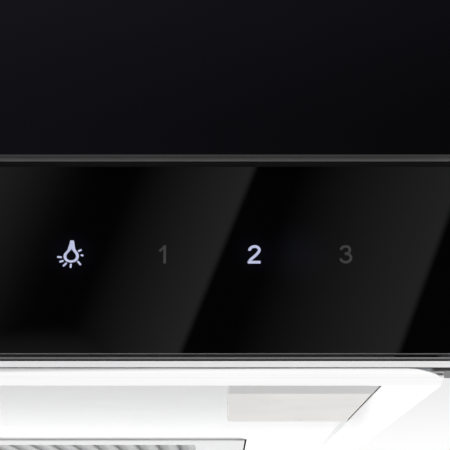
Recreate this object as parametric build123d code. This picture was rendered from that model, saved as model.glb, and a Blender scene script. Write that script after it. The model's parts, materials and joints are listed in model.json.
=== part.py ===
from build123d import *
import math
import os

os.makedirs("parts", exist_ok=True)

# Wall-hung range hood. X is the width, the front faces -Y, the wall plane is y = 0,
# Z is up and z = 0 is the underside of the steel tray. All sizes are in millimetres.

# Overall
body_width = 886.0
glass_overhang = 7.0  # of the glass past each cheek
body_depth = 470.0  # wall to the front face of the control glass
deck_top = 346.0
sheet = 1.2  # painted steel of the casing
bond_gap = 0.05  # left between curved faces that are glued

# Control strip
strip_bottom = 8.8
strip_height = 62.0
strip_thickness = 4.0
icon_row_z = 39.5
icon_pitch = 28.2
last_icon_inset = 36.0  # from the glass's right end
digit_height = 5.8
digit_stroke = 0.85
ray_stroke = 0.58
icon_depth = 0.4
icon_clearance = 0.02

# Upper pane
glass_thickness = 6.0
glass_radius = 300.0  # outer face
glass_sweep = 68.0  # degrees
glass_lap = 1.6  # how far the pane hangs over the strip's top
glass_skirt = 10.0  # straight stretch below the bend

# Gaskets and cheeks
gasket_thickness = 2.0
gasket_width = 10.0
cheek_flange = 14.0
cheek_foot_front = 50.0  # ends of the cheek's foot, from the front and from the wall
cheek_foot_rear = 20.0
cheek_foot_lift = 3.0
gasket_margin = 1.0
gasket_end_angle = 2.0  # degrees short of the pane's ends
rear_gasket_width = 4.5
rear_gasket_height = 6.0
rear_gasket_inset = 4.0
cheek_step = 0.5  # of the cheek's front edge above the strip
flange_end_angle = 1.0

# Front rail
rail_flange = 24.0
rail_lift = 12.0
rail_rise = 10.0  # of the web over the strip's top
rail_clearance = 1.0
window_clearance = 0.3
window_width = 118.0
window_height = 34.0

# Carrier under the control glass: a fin, a groove and a band
fin_bottom = 7.15
fin_thickness = 0.5
fin_setback = 0.2
band_bottom = 4.65
band_height = 1.85
band_setback = 0.4
carrier_depth = 7.8
carrier_back = 1.5

# Tray
tray_sheet = 1.0
lip_top = 4.5
lip_setback = 0.6
lip_bulge = 0.08
lip_lean = 0.2  # of the face, back from its top to the crease
lip_crease = 1.45
lip_slope = 6.4  # depth of the sloping face below the crease
lip_taper_length = 12.0
lip_taper_low = 1.1
lip_taper_round = 0.7
side_flange_front = 12.0  # from the strip's front face
rim_front = 8.2  # from the strip's front face to the pressed panel
rim_side = 18.0
rim_rear = 20.0
panel_lift = 1.2
tray_flange = 11.0

# Corner caps
cap_length = 12.0
cap_bottom = 2.3
cap_outer_bottom = 3.8
cap_depth = 17.6
cap_clearance = 0.1

# Filters
filter_side = 57.0  # from the tray's side edge in to the filter
filter_front = 225.0  # from the strip's front face back to the filter
filter_rear = 34.0  # from the wall out to the filter
filter_gap = 12.0  # between the two filters
filter_thickness = 10.0
filter_recess = 0.5
filter_rail = 24.0
filter_corner = 4.0
filter_side_clearance = 1.0
filter_front_clearance = 1.5
filter_swing_clearance = 0.8
mesh_sheet = 1.0  # two layers of expanded aluminium
mesh_inset = 0.8  # from the frame's faces to each layer
mesh_groove = 3.0
mesh_play = 0.2
mesh_columns = 15
mesh_rows = 8
mesh_strand = 4.0
hinge_inset = 5.0  # pivot forward of the filter's rear edge
hinge_pin_radius = 1.5
hinge_hole_radius = 1.58
hinge_pin_length = 3.2
hinge_lug_thickness = 1.2
hinge_lug_gap = 1.2
hinge_lug_depth = 10.0
hinge_lug_height = 11.0

# Filter latch
latch_travel = 5.0
latch_plate_width = 42.0
latch_plate_depth = 10.0
latch_plate_height = 4.0
latch_plate_bottom = 4.2
latch_pad_width = 26.0
latch_pad_depth = 7.0
latch_tongue_width = 16.0
latch_tongue_reach = 6.0
latch_tongue_thickness = 1.8
latch_tongue_rise = 1.8  # of the tongue over the plate's underside
latch_wall = 1.5  # of the frame in front of the plate
latch_pad_setback = 1.4
latch_pad_wall = 2.0
latch_pad_lift = 0.3
latch_grip_depth = 1.9
latch_clearance = 0.3
window_margin = 2.0
keeper_margin = 1.5  # from the tongue's tip to the keeper's riser
keeper_leaf_end = 0.7
keeper_sheet = 0.6
keeper_width = 20.0
keeper_foot = 12.0
keeper_gap = 0.3
notch_clearance = 0.8

# Lamps
lamp_width = 47.0
lamp_depth = 118.0
lamp_bezel_depth = 21.4
lamp_clearance = 0.2
lamp_lens_thickness = 3.0
lamp_housing_height = 18.0
lamp_wall = 1.5
lamp_flange = 5.0
lamp_front_flange = 2.0
lamp_lens_lift = 0.2
lamp_lens_round = 0.6
lamp_bezel_chamfer = 0.4
lamp_board_thickness = 1.6
lamp_board_margin = 3.0
lamp_stud_radius = 2.5
lamp_stud_height = 2.0
led_count = 5
led_size = 5.0
led_pitch = 18.0
led_height = 1.0

# Touch board
light_box_depth = 4.0
light_box_flange = 4.0
light_box_flange_thickness = 1.0
light_window = 18.0
light_window_height = 22.0
touch_pad_radius = 6.0
touch_pad_wall = 1.5
plug_inset = 6.0  # of the board's plug from its left edge
plug_width = 20.0
plug_height = 10.0
plug_depth = 7.0
chip_size = 16.0
chip_depth = 2.0
board_thickness = 1.6

# Duct
collar_radius = 75.0
collar_wall = 1.5
collar_height = 64.0
collar_flange = 12.0
collar_flange_thickness = 1.2
deck_hole_clearance = 0.6
damper_lift = 34.0  # pivot above the deck's top
damper_pin_radius = 2.0
damper_knuckle_radius = 4.0
damper_pin_clearance = 0.05
damper_thickness = 1.5
damper_edge_clearance = 1.0
damper_rest_gap = 0.05  # between a closed flap and its lug
damper_knuckle_length = 24.0
damper_knuckle_gap = 0.5
damper_near_clearance = 0.8  # from a knuckle to the other flap's edge
damper_boss_radius = 4.0  # bearings of the pin inside the collar
damper_boss_length = 7.0
damper_pin_end = 0.2  # short of the collar's inner face
stop_width = 12.0
stop_depth = 5.0
stop_height = 5.0

# Blower
fan_z = 150.0
fan_width = 130.0
scroll_start_radius = 84.0
scroll_end_radius = 112.0
scroll_steps = 6
fan_top_drop = 6.8  # rubber mounts between the scroll's flange and the deck
fan_flange = 14.0
inlet_radius = 62.0
inlet_ring_width = 5.0
inlet_ring_depth = 4.0
inlet_ring_sheet = 2.0
inlet_ring_clearance = 0.1
impeller_radius = 72.0
impeller_ring = 10.0
impeller_sheet = 2.0
impeller_side_clearance = 8.0
blade_count = 30
blade_thickness = 1.0
blade_depth = 8.0
blade_angle = 28.0
hub_radius = 14.0
hub_length = 30.0
shaft_radius = 5.0
shaft_clearance = 0.05
shaft_end = 6.0
motor_radius = 46.0
motor_length = 72.0
motor_gap = 8.0
motor_round = 5.0
motor_rib = 2.0
motor_rib_width = 3.0
motor_rib_inset = 12.0
motor_rib_count = 8
bracket_inset = 4.0  # of its ring from the motor's edge
bracket_ring = 16.0
bracket_thickness = 3.0
bracket_clearance = 8.0  # from the inlet ring out to the arms' feet
bracket_arm = 12.0
mount_radius = 6.0
capacitor_radius = 16.0
capacitor_length = 60.0
capacitor_stand = 1.5
capacitor_inset = 40.0  # from the control box's left end
capacitor_lift = 40.0  # over the control box
capacitor_clip = 20.0
capacitor_clip_inset = 8.0
capacitor_clip_height = 24.0
capacitor_cap = 5.0
capacitor_cap_radius = 6.0

# Control box
box_side = 43.0  # from the left cheek
box_width = 170.0
box_depth = 55.0
box_height = 90.0
box_z = 100.0
box_wall = 1.5
lid_thickness = 1.5
lid_clearance = 0.3
lid_lap = 6.0
pillar_radius = 4.0
pillar_height = 12.0
pillar_inset = 15.0
board_margin = 6.0  # from the box's outer faces
transformer_left = 70.0
transformer_low = 30.0
transformer_width = 35.0
transformer_height = 32.0
transformer_depth = 26.0
relay_left = 112.0
relay_low = 20.0
relay_size = 18.0
relay_height = 16.0
relay_depth = 16.0
relay_pitch = 22.0
relay_count = 2
can_left = 145.0
can_low = 22.0
can_radius = 5.0
can_depth = 18.0
can_pitch = 18.0
can_count = 3
terminal_left = 14.0
terminal_low = 16.0
terminal_width = 50.0
terminal_height = 18.0
terminal_depth = 20.0
terminal_count = 5
terminal_screw_radius = 2.4
terminal_screw_depth = 6.0
terminal_wire_radius = 1.8
terminal_wire_depth = 7.0
gland_x = 110.0
gland_y = -35.0
gland_bore = 5.0
gland_thread_radius = 8.0
gland_body_radius = 11.0
gland_height = 20.0
gland_below = 10.0
gland_nut = 5.0
gland_rim = 1.5
gland_rim_height = 3.0
gland_dome = 5.0
gland_dome_step = 2.0

# Chimney
chimney_width = 300.0
chimney_front = 200.0  # from the strip's front face back to the chimney
chimney_lower_height = 420.0
chimney_upper_height = 498.0
chimney_gap = 0.8
chimney_corner = 2.5
chimney_lip = 14.0
chimney_foot_height = 16.0
chimney_screw_inset = 60.0
foot_lap = 10.0
rear_cut = 10.0  # deep enough to open the covers' rear
chimney_upper_start = 22.0  # above the deck
vent_length = 70.0
vent_height = 5.0
vent_pitch = 11.0
vent_count = 5
vent_top_margin = 30.0
bracket_depth = 60.0
bracket_height = 24.0
bracket_sheet = 2.0
bracket_drop = 6.0
bracket_hole_spacing = 200.0
bracket_hole_radius = 3.0
bracket_screw_out = 40.0  # from the wall

# Wall fixing
hang_hole_radius = 5.0
hang_hole_spacing = 600.0
hang_hole_z = 300.0
low_hole_radius = 3.0
low_hole_spacing = 700.0
low_hole_z = 60.0
hook_width = 40.0
hook_height = 46.0
hook_depth = 30.0
hook_sheet = 3.0
hook_slot_radius = 7.0
level_screw_radius = 3.0
level_screw_length = 30.0
level_screw_out = 17.0  # from the back panel
level_head_radius = 5.4
level_head_height = 3.0

# Small screws
screw_radius = 2.0
screw_head_radius = 3.8
screw_head_height = 2.0
screw_head_round = 0.9
screw_hole_clearance = 0.1
hole_reach = 5.0  # past a wall, each way
screw_length = 8.0
deck_lip = 10.0
deck_lip_inset = 2.0
deck_screw_inset = 14.0
deck_screw_front = 30.0  # from the deck's front edge
deck_screw_middle = 280.0  # of the inner screws from the middle

# Places that follow from the sizes above
screw_hole_radius = screw_radius + screw_hole_clearance
half_body = body_width / 2
half_glass = half_body + glass_overhang
last_icon_x = half_glass - last_icon_inset
box_x = -half_body + box_side
chimney_depth = body_depth - chimney_front
duct_y = -chimney_depth / 2
fan_y = duct_y - scroll_end_radius / 2
filter_width = half_body - filter_side - filter_gap / 2
filter_depth = body_depth - filter_front - filter_rear
strip_front = -body_depth
strip_back = strip_front + strip_thickness
strip_top = strip_bottom + strip_height
pane_front = strip_front - glass_thickness
pane_bottom = strip_top - glass_lap
bend_z = pane_bottom + glass_skirt
bend_y = pane_front + glass_radius
pane_inner_radius = glass_radius - glass_thickness
cheek_radius = pane_inner_radius - gasket_thickness
deck_bottom = deck_top - sheet
deck_front = bend_y - math.sqrt(cheek_radius**2 - (deck_top - bend_z) ** 2)
cheek_end_y = bend_y - math.sqrt(cheek_radius**2 - (deck_bottom - bend_z) ** 2)
panel_top = panel_lift + tray_sheet
rail_back = strip_back + sheet
level_screw_y = -sheet - level_screw_out


# Helpers ---------------------------------------------------------------------------------


def block(x_from, x_to, y_from, y_to, z_from, z_to):
    # a rectangular block between six planes
    centre = Pos((x_from + x_to) / 2, (y_from + y_to) / 2, (z_from + z_to) / 2)
    return centre * Box(x_to - x_from, y_to - y_from, z_to - z_from)


def along_x(outline, x_from, x_to):
    # an outline drawn in (Y, Z), carried along X
    return Pos(x_from, 0, 0) * extrude(Plane.YZ * outline, amount=x_to - x_from)


def rod_x(radius, x_from, x_to, y, z):
    return Pos((x_from + x_to) / 2, y, z) * Rot(0, 90, 0) * Cylinder(radius, x_to - x_from)


def rod_y(radius, x, y_from, y_to, z):
    return Pos(x, (y_from + y_to) / 2, z) * Rot(90, 0, 0) * Cylinder(radius, y_to - y_from)


def rod_z(radius, x, y, z_from, z_to):
    return Pos(x, y, (z_from + z_to) / 2) * Cylinder(radius, z_to - z_from)


def on_curve(radius, angle):
    # a point (Y, Z) of the pane's bend, angle in degrees up from the front
    turn = math.radians(angle)
    return (bend_y - radius * math.cos(turn), bend_z + radius * math.sin(turn))


def curved_band(outer, inner, angle_from, angle_to):
    # the outline of a band that follows the bend
    middle = (angle_from + angle_to) / 2
    edges = [
        ThreePointArc(on_curve(outer, angle_from), on_curve(outer, middle), on_curve(outer, angle_to)),
        Line(on_curve(outer, angle_to), on_curve(inner, angle_to)),
        ThreePointArc(on_curve(inner, angle_to), on_curve(inner, middle), on_curve(inner, angle_from)),
        Line(on_curve(inner, angle_from), on_curve(outer, angle_from)),
    ]
    return make_face(edges)


def mirrored(shape):
    return mirror(shape, about=Plane.YZ)


def save(name, shape):
    solids = shape.solids() if hasattr(shape, "solids") else [shape]
    export_step(solids[0] if len(solids) == 1 else Compound(children=list(solids)), f"parts/{name}.step")


def save_pair(name, right_shape):
    save(f"{name}_right", right_shape)
    save(f"{name}_left", mirrored(right_shape))


def screw_down(x, y, top):
    # a pan head on a surface at this height, shank below
    head = rod_z(screw_head_radius, x, y, top, top + screw_head_height)
    head = fillet(head.edges().group_by(Axis.Z)[-1], screw_head_round)
    return head + rod_z(screw_radius, x, y, top - screw_length, top)


def side_hole(radius, side, x, y, z):
    # a hole along X through the wall at this distance on one side
    start, end = sorted((side * (x - hole_reach), side * (x + hole_reach)))
    return rod_x(radius, start, end, y, z)


def screw_side(side, x, y, z):
    # a pan head on a face that looks along side (+1 or -1) in X
    head = rod_x(screw_head_radius, 0, screw_head_height, 0, 0)
    head = fillet(head.edges().group_by(Axis.X)[-1], screw_head_round)
    whole = head + rod_x(screw_radius, -screw_length, 0, 0, 0)
    whole = whole if side > 0 else mirrored(whole)
    return Pos(x, y, z) * whole


# Glass -----------------------------------------------------------------------------------


def curved_glass():
    skirt = block(-half_glass, half_glass, pane_front, strip_front, pane_bottom, bend_z)
    bend = along_x(curved_band(glass_radius, pane_inner_radius, 0, glass_sweep), -half_glass, half_glass)
    return skirt + bend


def glass_gaskets():
    inside = half_body - sheet - gasket_margin
    outer = pane_inner_radius - bond_gap
    band = curved_band(outer, cheek_radius + bond_gap, gasket_end_angle, glass_sweep - gasket_end_angle)
    side = along_x(band, inside - gasket_width, inside)
    rear_x = half_body - cheek_flange - rear_gasket_inset
    rear_y = deck_front + gasket_margin
    rear = block(-rear_x, rear_x, rear_y, rear_y + rear_gasket_width, deck_top, deck_top + rear_gasket_height)
    rear &= rod_x(outer, -half_body, half_body, bend_y, bend_z)
    front = block(-inside + gasket_width, inside - gasket_width, strip_front, strip_back,
                  strip_top + gasket_margin, strip_top + rail_rise - gasket_margin)
    return Compound(children=[*side.solids(), *mirrored(side).solids(), *rear.solids(), *front.solids()])


def cheek():
    curve_end = (cheek_end_y, deck_bottom)
    start = on_curve(cheek_radius, 0)
    end_angle = math.degrees(math.asin((deck_bottom - bend_z) / cheek_radius))
    edges = [
        Line((-sheet, tray_sheet), (lip_back + tray_sheet, tray_sheet)),
        Line((lip_back + tray_sheet, tray_sheet), (strip_back, band_bottom)),
        Line((strip_back, band_bottom), (strip_back, strip_top + cheek_step)),
        Line((strip_back, strip_top + cheek_step), (start[0], strip_top + cheek_step)),
        Line((start[0], strip_top + cheek_step), start),
        ThreePointArc(start, on_curve(cheek_radius, end_angle / 2), curve_end),
        Line(curve_end, (-sheet, deck_bottom)),
        Line((-sheet, deck_bottom), (-sheet, tray_sheet)),
    ]
    plate = along_x(make_face(edges), half_body - sheet, half_body)
    band = curved_band(cheek_radius, cheek_radius - sheet, flange_end_angle, end_angle - flange_end_angle / 3)
    flange = along_x(band, half_body - cheek_flange, half_body - sheet)
    foot_z = tray_flange + cheek_foot_lift
    foot = block(half_body - cheek_flange, half_body - sheet,
                 strip_front + cheek_foot_front, -cheek_foot_rear, foot_z, foot_z + sheet)
    return plate + flange + foot


def front_rail():
    end = half_body - sheet
    web = block(-end, end, strip_back, rail_back, rail_lift, strip_top + rail_rise)
    low = block(-end, end, rail_back, rail_back + rail_flange, rail_lift, rail_lift + sheet)
    high = block(-end, end, rail_back, rail_back + rail_flange, strip_top - sheet, strip_top)
    window = block(icon_centre_x() - window_width / 2, icon_centre_x() + window_width / 2,
                   strip_back, rail_back, icon_row_z - window_height / 2, icon_row_z + window_height / 2)
    rail = web + low + high - window
    # clear of the cheeks' flanges, and cut out over the lamps
    side = block(half_body - cheek_flange, end, rail_back, rail_back + rail_flange, 0, strip_top)
    lamp = block(lamp_x_from - lamp_flange - rail_clearance, end, rail_back, rail_back + rail_flange,
                 0, rail_lift + sheet)
    for cut in (side, lamp):
        rail -= cut
        rail -= mirrored(cut)
    return rail


# Icons -----------------------------------------------------------------------------------


def icon_x(number):
    # the lamp icon is number 0, the digits are 1 to 3
    return last_icon_x - (3 - number) * icon_pitch


def icon_centre_x():
    return (icon_x(0) + icon_x(3)) / 2


def stroke(lines, width):
    return trace(lines, line_width=width)


def digit_one():
    top = digit_height / 2
    stem = Line((0.6, -top), (0.6, top))
    flag = Line((0.6, top - 0.35), (-1.05, 0.95))
    return [stroke(stem, digit_stroke) + stroke(flag, digit_stroke * 0.85)]


def digit_two():
    foot_y = -(digit_height - digit_stroke) / 2
    crown = (digit_height - digit_stroke) / 2
    curve = Spline((-1.42, 1.15), (-1.12, 1.95), (0.05, crown), (1.28, 2.05), (1.58, 1.35), (1.22, 0.55),
                   (0.3, -0.45), (-0.8, -1.38), (-1.5, foot_y + digit_stroke / 2))
    foot = Line((-2.0, foot_y), (1.95, foot_y))
    return [stroke(curve, digit_stroke) + stroke(foot, digit_stroke)]


def digit_three():
    crown = (digit_height - digit_stroke) / 2
    upper = Spline((-1.42, 1.35), (-1.05, 2.1), (-0.05, crown), (1.05, 2.15), (1.28, 1.35), (0.95, 0.6),
                   (-0.25, 0.2))
    lower = Spline((-0.25, 0.2), (0.95, 0.0), (1.58, -0.95), (1.15, -2.05), (0.0, -crown), (-1.15, -2.1),
                   (-1.55, -1.25))
    return [stroke(upper, digit_stroke) + stroke(lower, digit_stroke)]


def bulb_icon():
    # a hanging lamp, drawn freehand: ribbed cap, drop outline and seven uneven rays
    outline = Spline((-1.0, 1.95), (-1.5, 1.0), (-2.15, 0.25), (-2.36, -0.6), (-1.95, -1.75), (-1.1, -2.4),
                     (0.0, -2.6), (1.15, -2.4), (2.05, -1.7), (2.38, -0.6), (2.2, 0.25), (1.65, 1.0),
                     (1.15, 1.95))
    drop = Spline((0.05, 1.75), (-0.5, 1.0), (-1.2, 0.2), (-1.47, -0.6), (-1.15, -1.45), (0.0, -1.88),
                  (1.15, -1.45), (1.47, -0.6), (1.2, 0.2), (0.55, 1.0), (0.05, 1.75))
    cap = Polyline((-1.0, 1.9), (-1.02, 2.3), (-0.72, 2.42), (-0.92, 2.78), (-0.62, 2.88), (-0.8, 3.2),
                   (-0.5, 3.32), (-0.62, 3.7), (-0.42, 3.82), (-0.5, 4.3), (-0.36, 4.4), (0.64, 4.4),
                   (0.76, 4.25), (0.95, 3.1), (1.15, 1.9), close=True)
    body = make_face([outline, Line(outline @ 1, outline @ 0)]) + make_face(cap) - make_face(drop)
    ends = (
        ((2.1, 0.95), (3.15, 1.45)), ((2.95, -0.2), (3.75, -0.45)), ((2.0, -2.15), (3.05, -3.35)),
        ((0.0, -2.95), (-0.08, -4.25)), ((-1.35, -2.7), (-2.4, -3.75)), ((-2.3, -2.0), (-3.55, -2.4)),
        ((-2.85, -0.95), (-4.3, -0.8)),
    )
    return [body] + [stroke(Line(near, far), ray_stroke) for near, far in ends]


def icon_solids(faces, number, shrink=0.0):
    # icon faces drawn flat, stood up in the strip's front face
    solids = []
    front = strip_front + shrink
    for face in faces:
        solid = extrude(Plane.XY * face, amount=icon_depth - shrink)
        placed = Pos(icon_x(number), front + icon_depth - shrink, icon_row_z) * Rot(90, 0, 0) * solid
        solids.extend(placed.solids())
    return solids


def lit_icons():
    return icon_solids(bulb_icon(), 0, icon_clearance) + icon_solids(digit_two(), 2, icon_clearance)


def dim_icons():
    return icon_solids(digit_one(), 1, icon_clearance) + icon_solids(digit_three(), 3, icon_clearance)


def control_glass():
    pane = block(-half_glass, half_glass, strip_front, strip_back, strip_bottom, strip_top)
    pockets = icon_solids(bulb_icon(), 0) + icon_solids(digit_one(), 1)
    pockets += icon_solids(digit_two(), 2) + icon_solids(digit_three(), 3)
    for pocket in pockets:
        pane -= pocket
    return pane


def icon_light_box():
    half = window_width / 2 - window_clearance
    high = window_height / 2 - window_clearance
    middle = icon_centre_x()
    body = block(middle - half, middle + half, strip_back, strip_back + light_box_depth,
                 icon_row_z - high, icon_row_z + high)
    body += block(middle - half - light_box_flange, middle + half + light_box_flange,
                  rail_back, rail_back + light_box_flange_thickness,
                  icon_row_z - high - light_box_flange, icon_row_z + high + light_box_flange)
    for number in range(4):
        body -= block(icon_x(number) - light_window / 2, icon_x(number) + light_window / 2,
                      strip_back, strip_back + light_box_depth,
                      icon_row_z - light_window_height / 2, icon_row_z + light_window_height / 2)
    return body


def touch_pads():
    # springy contacts between the board and the back of the glass
    pads = []
    back = strip_back + light_box_depth
    for number in range(4):
        ring = rod_y(touch_pad_radius, icon_x(number), strip_back, back, icon_row_z)
        ring -= rod_y(touch_pad_radius - touch_pad_wall, icon_x(number), strip_back, back, icon_row_z)
        pads.extend(ring.solids())
    return pads


def touch_board():
    half = window_width / 2 + light_box_flange
    high = window_height / 2 + light_box_flange
    front = strip_back + light_box_depth
    board = block(icon_centre_x() - half, icon_centre_x() + half, front, front + board_thickness,
                  icon_row_z - high, icon_row_z + high)
    back = front + board_thickness
    plug_x = icon_centre_x() - half + plug_inset
    board += block(plug_x, plug_x + plug_width, back, back + plug_depth,
                   icon_row_z - plug_height / 2, icon_row_z + plug_height / 2)
    board += block(icon_centre_x() - chip_size / 2, icon_centre_x() + chip_size / 2, back, back + chip_depth,
                   icon_row_z - chip_size / 2, icon_row_z + chip_size / 2)
    return board


def glass_carrier():
    # the fin and the band show as fine lines below the glass
    back = strip_front + fin_setback + carrier_depth
    fin_top = fin_bottom + fin_thickness
    fin = block(-half_glass, half_glass, strip_front + fin_setback, back, fin_bottom, fin_top)
    band = block(-half_glass, half_glass, strip_front + band_setback, strip_back - cap_clearance,
                 band_bottom, band_bottom + band_height)
    web = block(-half_glass, half_glass, strip_back - 2 * carrier_back, strip_back - cap_clearance,
                band_bottom + band_height, fin_bottom)
    end = half_body - cheek_flange
    leg = block(-end, end, back - carrier_back, back, fin_top, rail_lift)
    # ears outside the cheeks close the gap under the glass's ends
    ear = block(half_body + cap_clearance, half_glass, back - carrier_back, back, fin_top, rail_lift)
    notch = block(half_body - sheet, half_body, strip_back, back, fin_bottom, fin_top)
    return fin + band + web + leg + ear + mirrored(ear) - notch - mirrored(notch)


# Tray ------------------------------------------------------------------------------------

lip_front = strip_front + lip_setback
lip_back = lip_front + lip_slope
panel_x = half_body - rim_side
panel_front = strip_front + rim_front
lamp_x_to = panel_x - lamp_clearance
lamp_x_from = lamp_x_to - lamp_width
lamp_y_from = panel_front + lamp_clearance
lamp_y_to = lamp_y_from + lamp_depth
lamp_split = lamp_y_from + lamp_bezel_depth
filter_y_from = strip_front + filter_front
filter_y_to = filter_y_from + filter_depth
filter_x_from = filter_gap / 2
filter_x_to = filter_x_from + filter_width
filter_bottom = filter_recess
filter_top = filter_bottom + filter_thickness
hinge_y = filter_y_to - hinge_inset
hinge_z = (filter_bottom + filter_top) / 2
opening_y_from = filter_y_from - filter_front_clearance
opening_y_to = hinge_y + math.hypot(hinge_inset, filter_thickness / 2) + filter_swing_clearance


def tray_profile():
    # lip, sloping face, flat rim and the upturned rear flange
    inside = lip_front + tray_sheet
    crease = lip_crease + tray_sheet * 0.8
    bulge = lip_lean / 2 - lip_bulge
    edges = [
        ThreePointArc((lip_front, lip_top), (lip_front + bulge, (lip_top + lip_crease) / 2),
                      (lip_front + lip_lean, lip_crease)),
        Line((lip_front + lip_lean, lip_crease), (lip_back, 0)),
        Line((lip_back, 0), (-sheet, 0)),
        Line((-sheet, 0), (-sheet, tray_flange)),
        Line((-sheet, tray_flange), (-sheet - tray_sheet, tray_flange)),
        Line((-sheet - tray_sheet, tray_flange), (-sheet - tray_sheet, tray_sheet)),
        Line((-sheet - tray_sheet, tray_sheet), (lip_back, tray_sheet)),
        Line((lip_back, tray_sheet), (inside + lip_lean, crease)),
        ThreePointArc((inside + lip_lean, crease), (inside + bulge, (lip_top + crease) / 2), (inside, lip_top)),
        Line((inside, lip_top), (lip_front, lip_top)),
    ]
    return make_face(edges)


def lip_end_cut():
    # the lip's top curves down towards the corner
    start = half_body - lip_taper_length
    end = half_body + 0.5
    bend = (half_body - lip_taper_length * 0.4, (lip_top + lip_taper_low) / 2 + lip_taper_round)
    edges = [
        ThreePointArc((start, lip_top), bend, (end, lip_taper_low)),
        Line((end, lip_taper_low), (end, lip_top + 1)),
        Line((end, lip_top + 1), (start, lip_top + 1)),
        Line((start, lip_top + 1), (start, lip_top)),
    ]
    wedge = extrude(Plane.XZ * make_face(edges), amount=tray_sheet + 1)
    return Pos(0, lip_front + tray_sheet, 0) * wedge


def hinge_lug(x_from):
    lug = block(x_from, x_from + hinge_lug_thickness, hinge_y - hinge_lug_depth / 2,
                hinge_y + hinge_lug_depth / 2, panel_top, panel_top + hinge_lug_height)
    return lug - rod_x(hinge_hole_radius, x_from, x_from + hinge_lug_thickness, hinge_y, hinge_z)


def lug_places():
    # inner and outer lug of the right filter
    inner = filter_x_from - hinge_lug_gap - hinge_lug_thickness
    outer = filter_x_to + hinge_lug_gap
    return inner, outer


def tray():
    whole = along_x(tray_profile(), -half_body, half_body)
    flange_x = half_body - sheet
    side = block(flange_x - tray_sheet, flange_x, strip_front + side_flange_front, -sheet,
                 tray_sheet, tray_flange)
    whole += side + mirrored(side)
    corner = block(flange_x, half_body, -sheet - tray_sheet, -sheet, tray_sheet, tray_flange)
    whole -= corner
    whole -= mirrored(corner)
    # the middle is pressed up a little
    whole -= block(-panel_x, panel_x, panel_front, -rim_rear, 0, tray_sheet)
    wall = block(-panel_x - tray_sheet, panel_x + tray_sheet,
                 panel_front - tray_sheet, -rim_rear + tray_sheet, 0, panel_top)
    whole += wall - block(-panel_x, panel_x, panel_front, -rim_rear, 0, panel_lift)
    opening = block(filter_x_from - filter_side_clearance, filter_x_to + filter_side_clearance,
                    opening_y_from, opening_y_to, 0, panel_top)
    lamp = block(lamp_x_from, lamp_x_to, lamp_y_from, lamp_y_to + lamp_clearance, panel_lift, panel_top)
    for cut in (opening, lamp, lip_end_cut()):
        whole -= cut
        whole -= mirrored(cut)
    # notches that let the latch tongues down past the sheet
    notch_half = tongue_half + filter_side_clearance
    notch = block(latch_x - notch_half, latch_x + notch_half,
                  filter_y_from - latch_tongue_reach - notch_clearance, opening_y_from, 0, panel_top)
    whole -= notch
    whole -= mirrored(notch)
    for place in lug_places():
        lug = hinge_lug(place)
        whole += lug
        whole += mirrored(lug)
    return whole


def corner_cap():
    # closes the corner between the carrier's band and the lip
    front = lip_front + lip_lean + tray_sheet + cap_clearance
    top = band_bottom - cap_clearance
    plate = block(half_body - cap_length, half_body + cap_clearance, front, strip_back - cap_clearance,
                  cap_bottom, top)
    outer = block(half_body + cap_clearance, half_glass, front, front + cap_depth, cap_outer_bottom, top)
    return plate + outer


# Lamps -----------------------------------------------------------------------------------


def lamp_bezel():
    bar = block(lamp_x_from, lamp_x_to, lamp_y_from, lamp_split, 0, lamp_lens_thickness)
    return chamfer(bar.edges().group_by(Axis.Z)[0], lamp_bezel_chamfer)


def lamp_lens():
    pane = block(lamp_x_from, lamp_x_to, lamp_split, lamp_y_to, lamp_lens_lift, lamp_lens_thickness)
    return fillet(pane.edges().group_by(Axis.Z)[0], lamp_lens_round)


def lamp_housing():
    front = lamp_y_from - lamp_front_flange
    outer = block(lamp_x_from - lamp_flange, lamp_x_to + lamp_flange, front, lamp_y_to + lamp_flange,
                  lamp_lens_thickness, lamp_lens_thickness + lamp_wall)
    outer += block(lamp_x_from, lamp_x_to, lamp_y_from, lamp_y_to, lamp_lens_thickness, lamp_housing_height)
    outer -= block(lamp_x_from + lamp_wall, lamp_x_to - lamp_wall,
                   lamp_y_from + lamp_wall, lamp_y_to - lamp_wall,
                   lamp_lens_thickness, lamp_housing_height - lamp_wall)
    # feet that carry the flange on the tray
    outer += block(lamp_x_from, lamp_x_to, front, lamp_y_from - lamp_clearance,
                   panel_top, lamp_lens_thickness)
    outer += block(lamp_x_from, lamp_x_to, lamp_y_to + lamp_clearance, lamp_y_to + lamp_flange,
                   panel_top, lamp_lens_thickness)
    return outer


def lamp_board():
    # a strip of light sources on two studs under the housing's roof
    roof = lamp_housing_height - lamp_wall
    top = roof - lamp_stud_height
    low = top - lamp_board_thickness
    middle = (lamp_x_from + lamp_x_to) / 2
    front = lamp_split
    rear = lamp_y_to - lamp_board_margin
    board = block(lamp_x_from + lamp_board_margin, lamp_x_to - lamp_board_margin, front, rear, low, top)
    first = (front + rear - (led_count - 1) * led_pitch) / 2
    for step in range(led_count):
        y = first + step * led_pitch
        board += block(middle - led_size / 2, middle + led_size / 2, y - led_size / 2, y + led_size / 2,
                       low - led_height, low)
    for y in (front + 2 * lamp_stud_radius, rear - 2 * lamp_stud_radius):
        board += rod_z(lamp_stud_radius, middle, y, top, roof)
    return board


# Filters ---------------------------------------------------------------------------------

latch_x = (filter_x_from + filter_x_to) / 2
latch_front = filter_y_from + latch_wall
latch_back = latch_front + latch_plate_depth
pocket_back = latch_back + latch_travel + latch_clearance
latch_top = latch_plate_bottom + latch_plate_height
tongue_bottom = latch_plate_bottom + latch_tongue_rise
pocket_half = latch_plate_width / 2 + latch_clearance
pad_half = latch_pad_width / 2
tongue_half = latch_tongue_width / 2
keeper_half = keeper_width / 2


def filter_window(grow, low, high):
    # the space inside the frame's rails, grown outward
    return block(filter_x_from + filter_rail - grow, filter_x_to - filter_rail + grow,
                 filter_y_from + filter_rail - grow, filter_y_to - filter_rail + grow, low, high)


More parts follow.
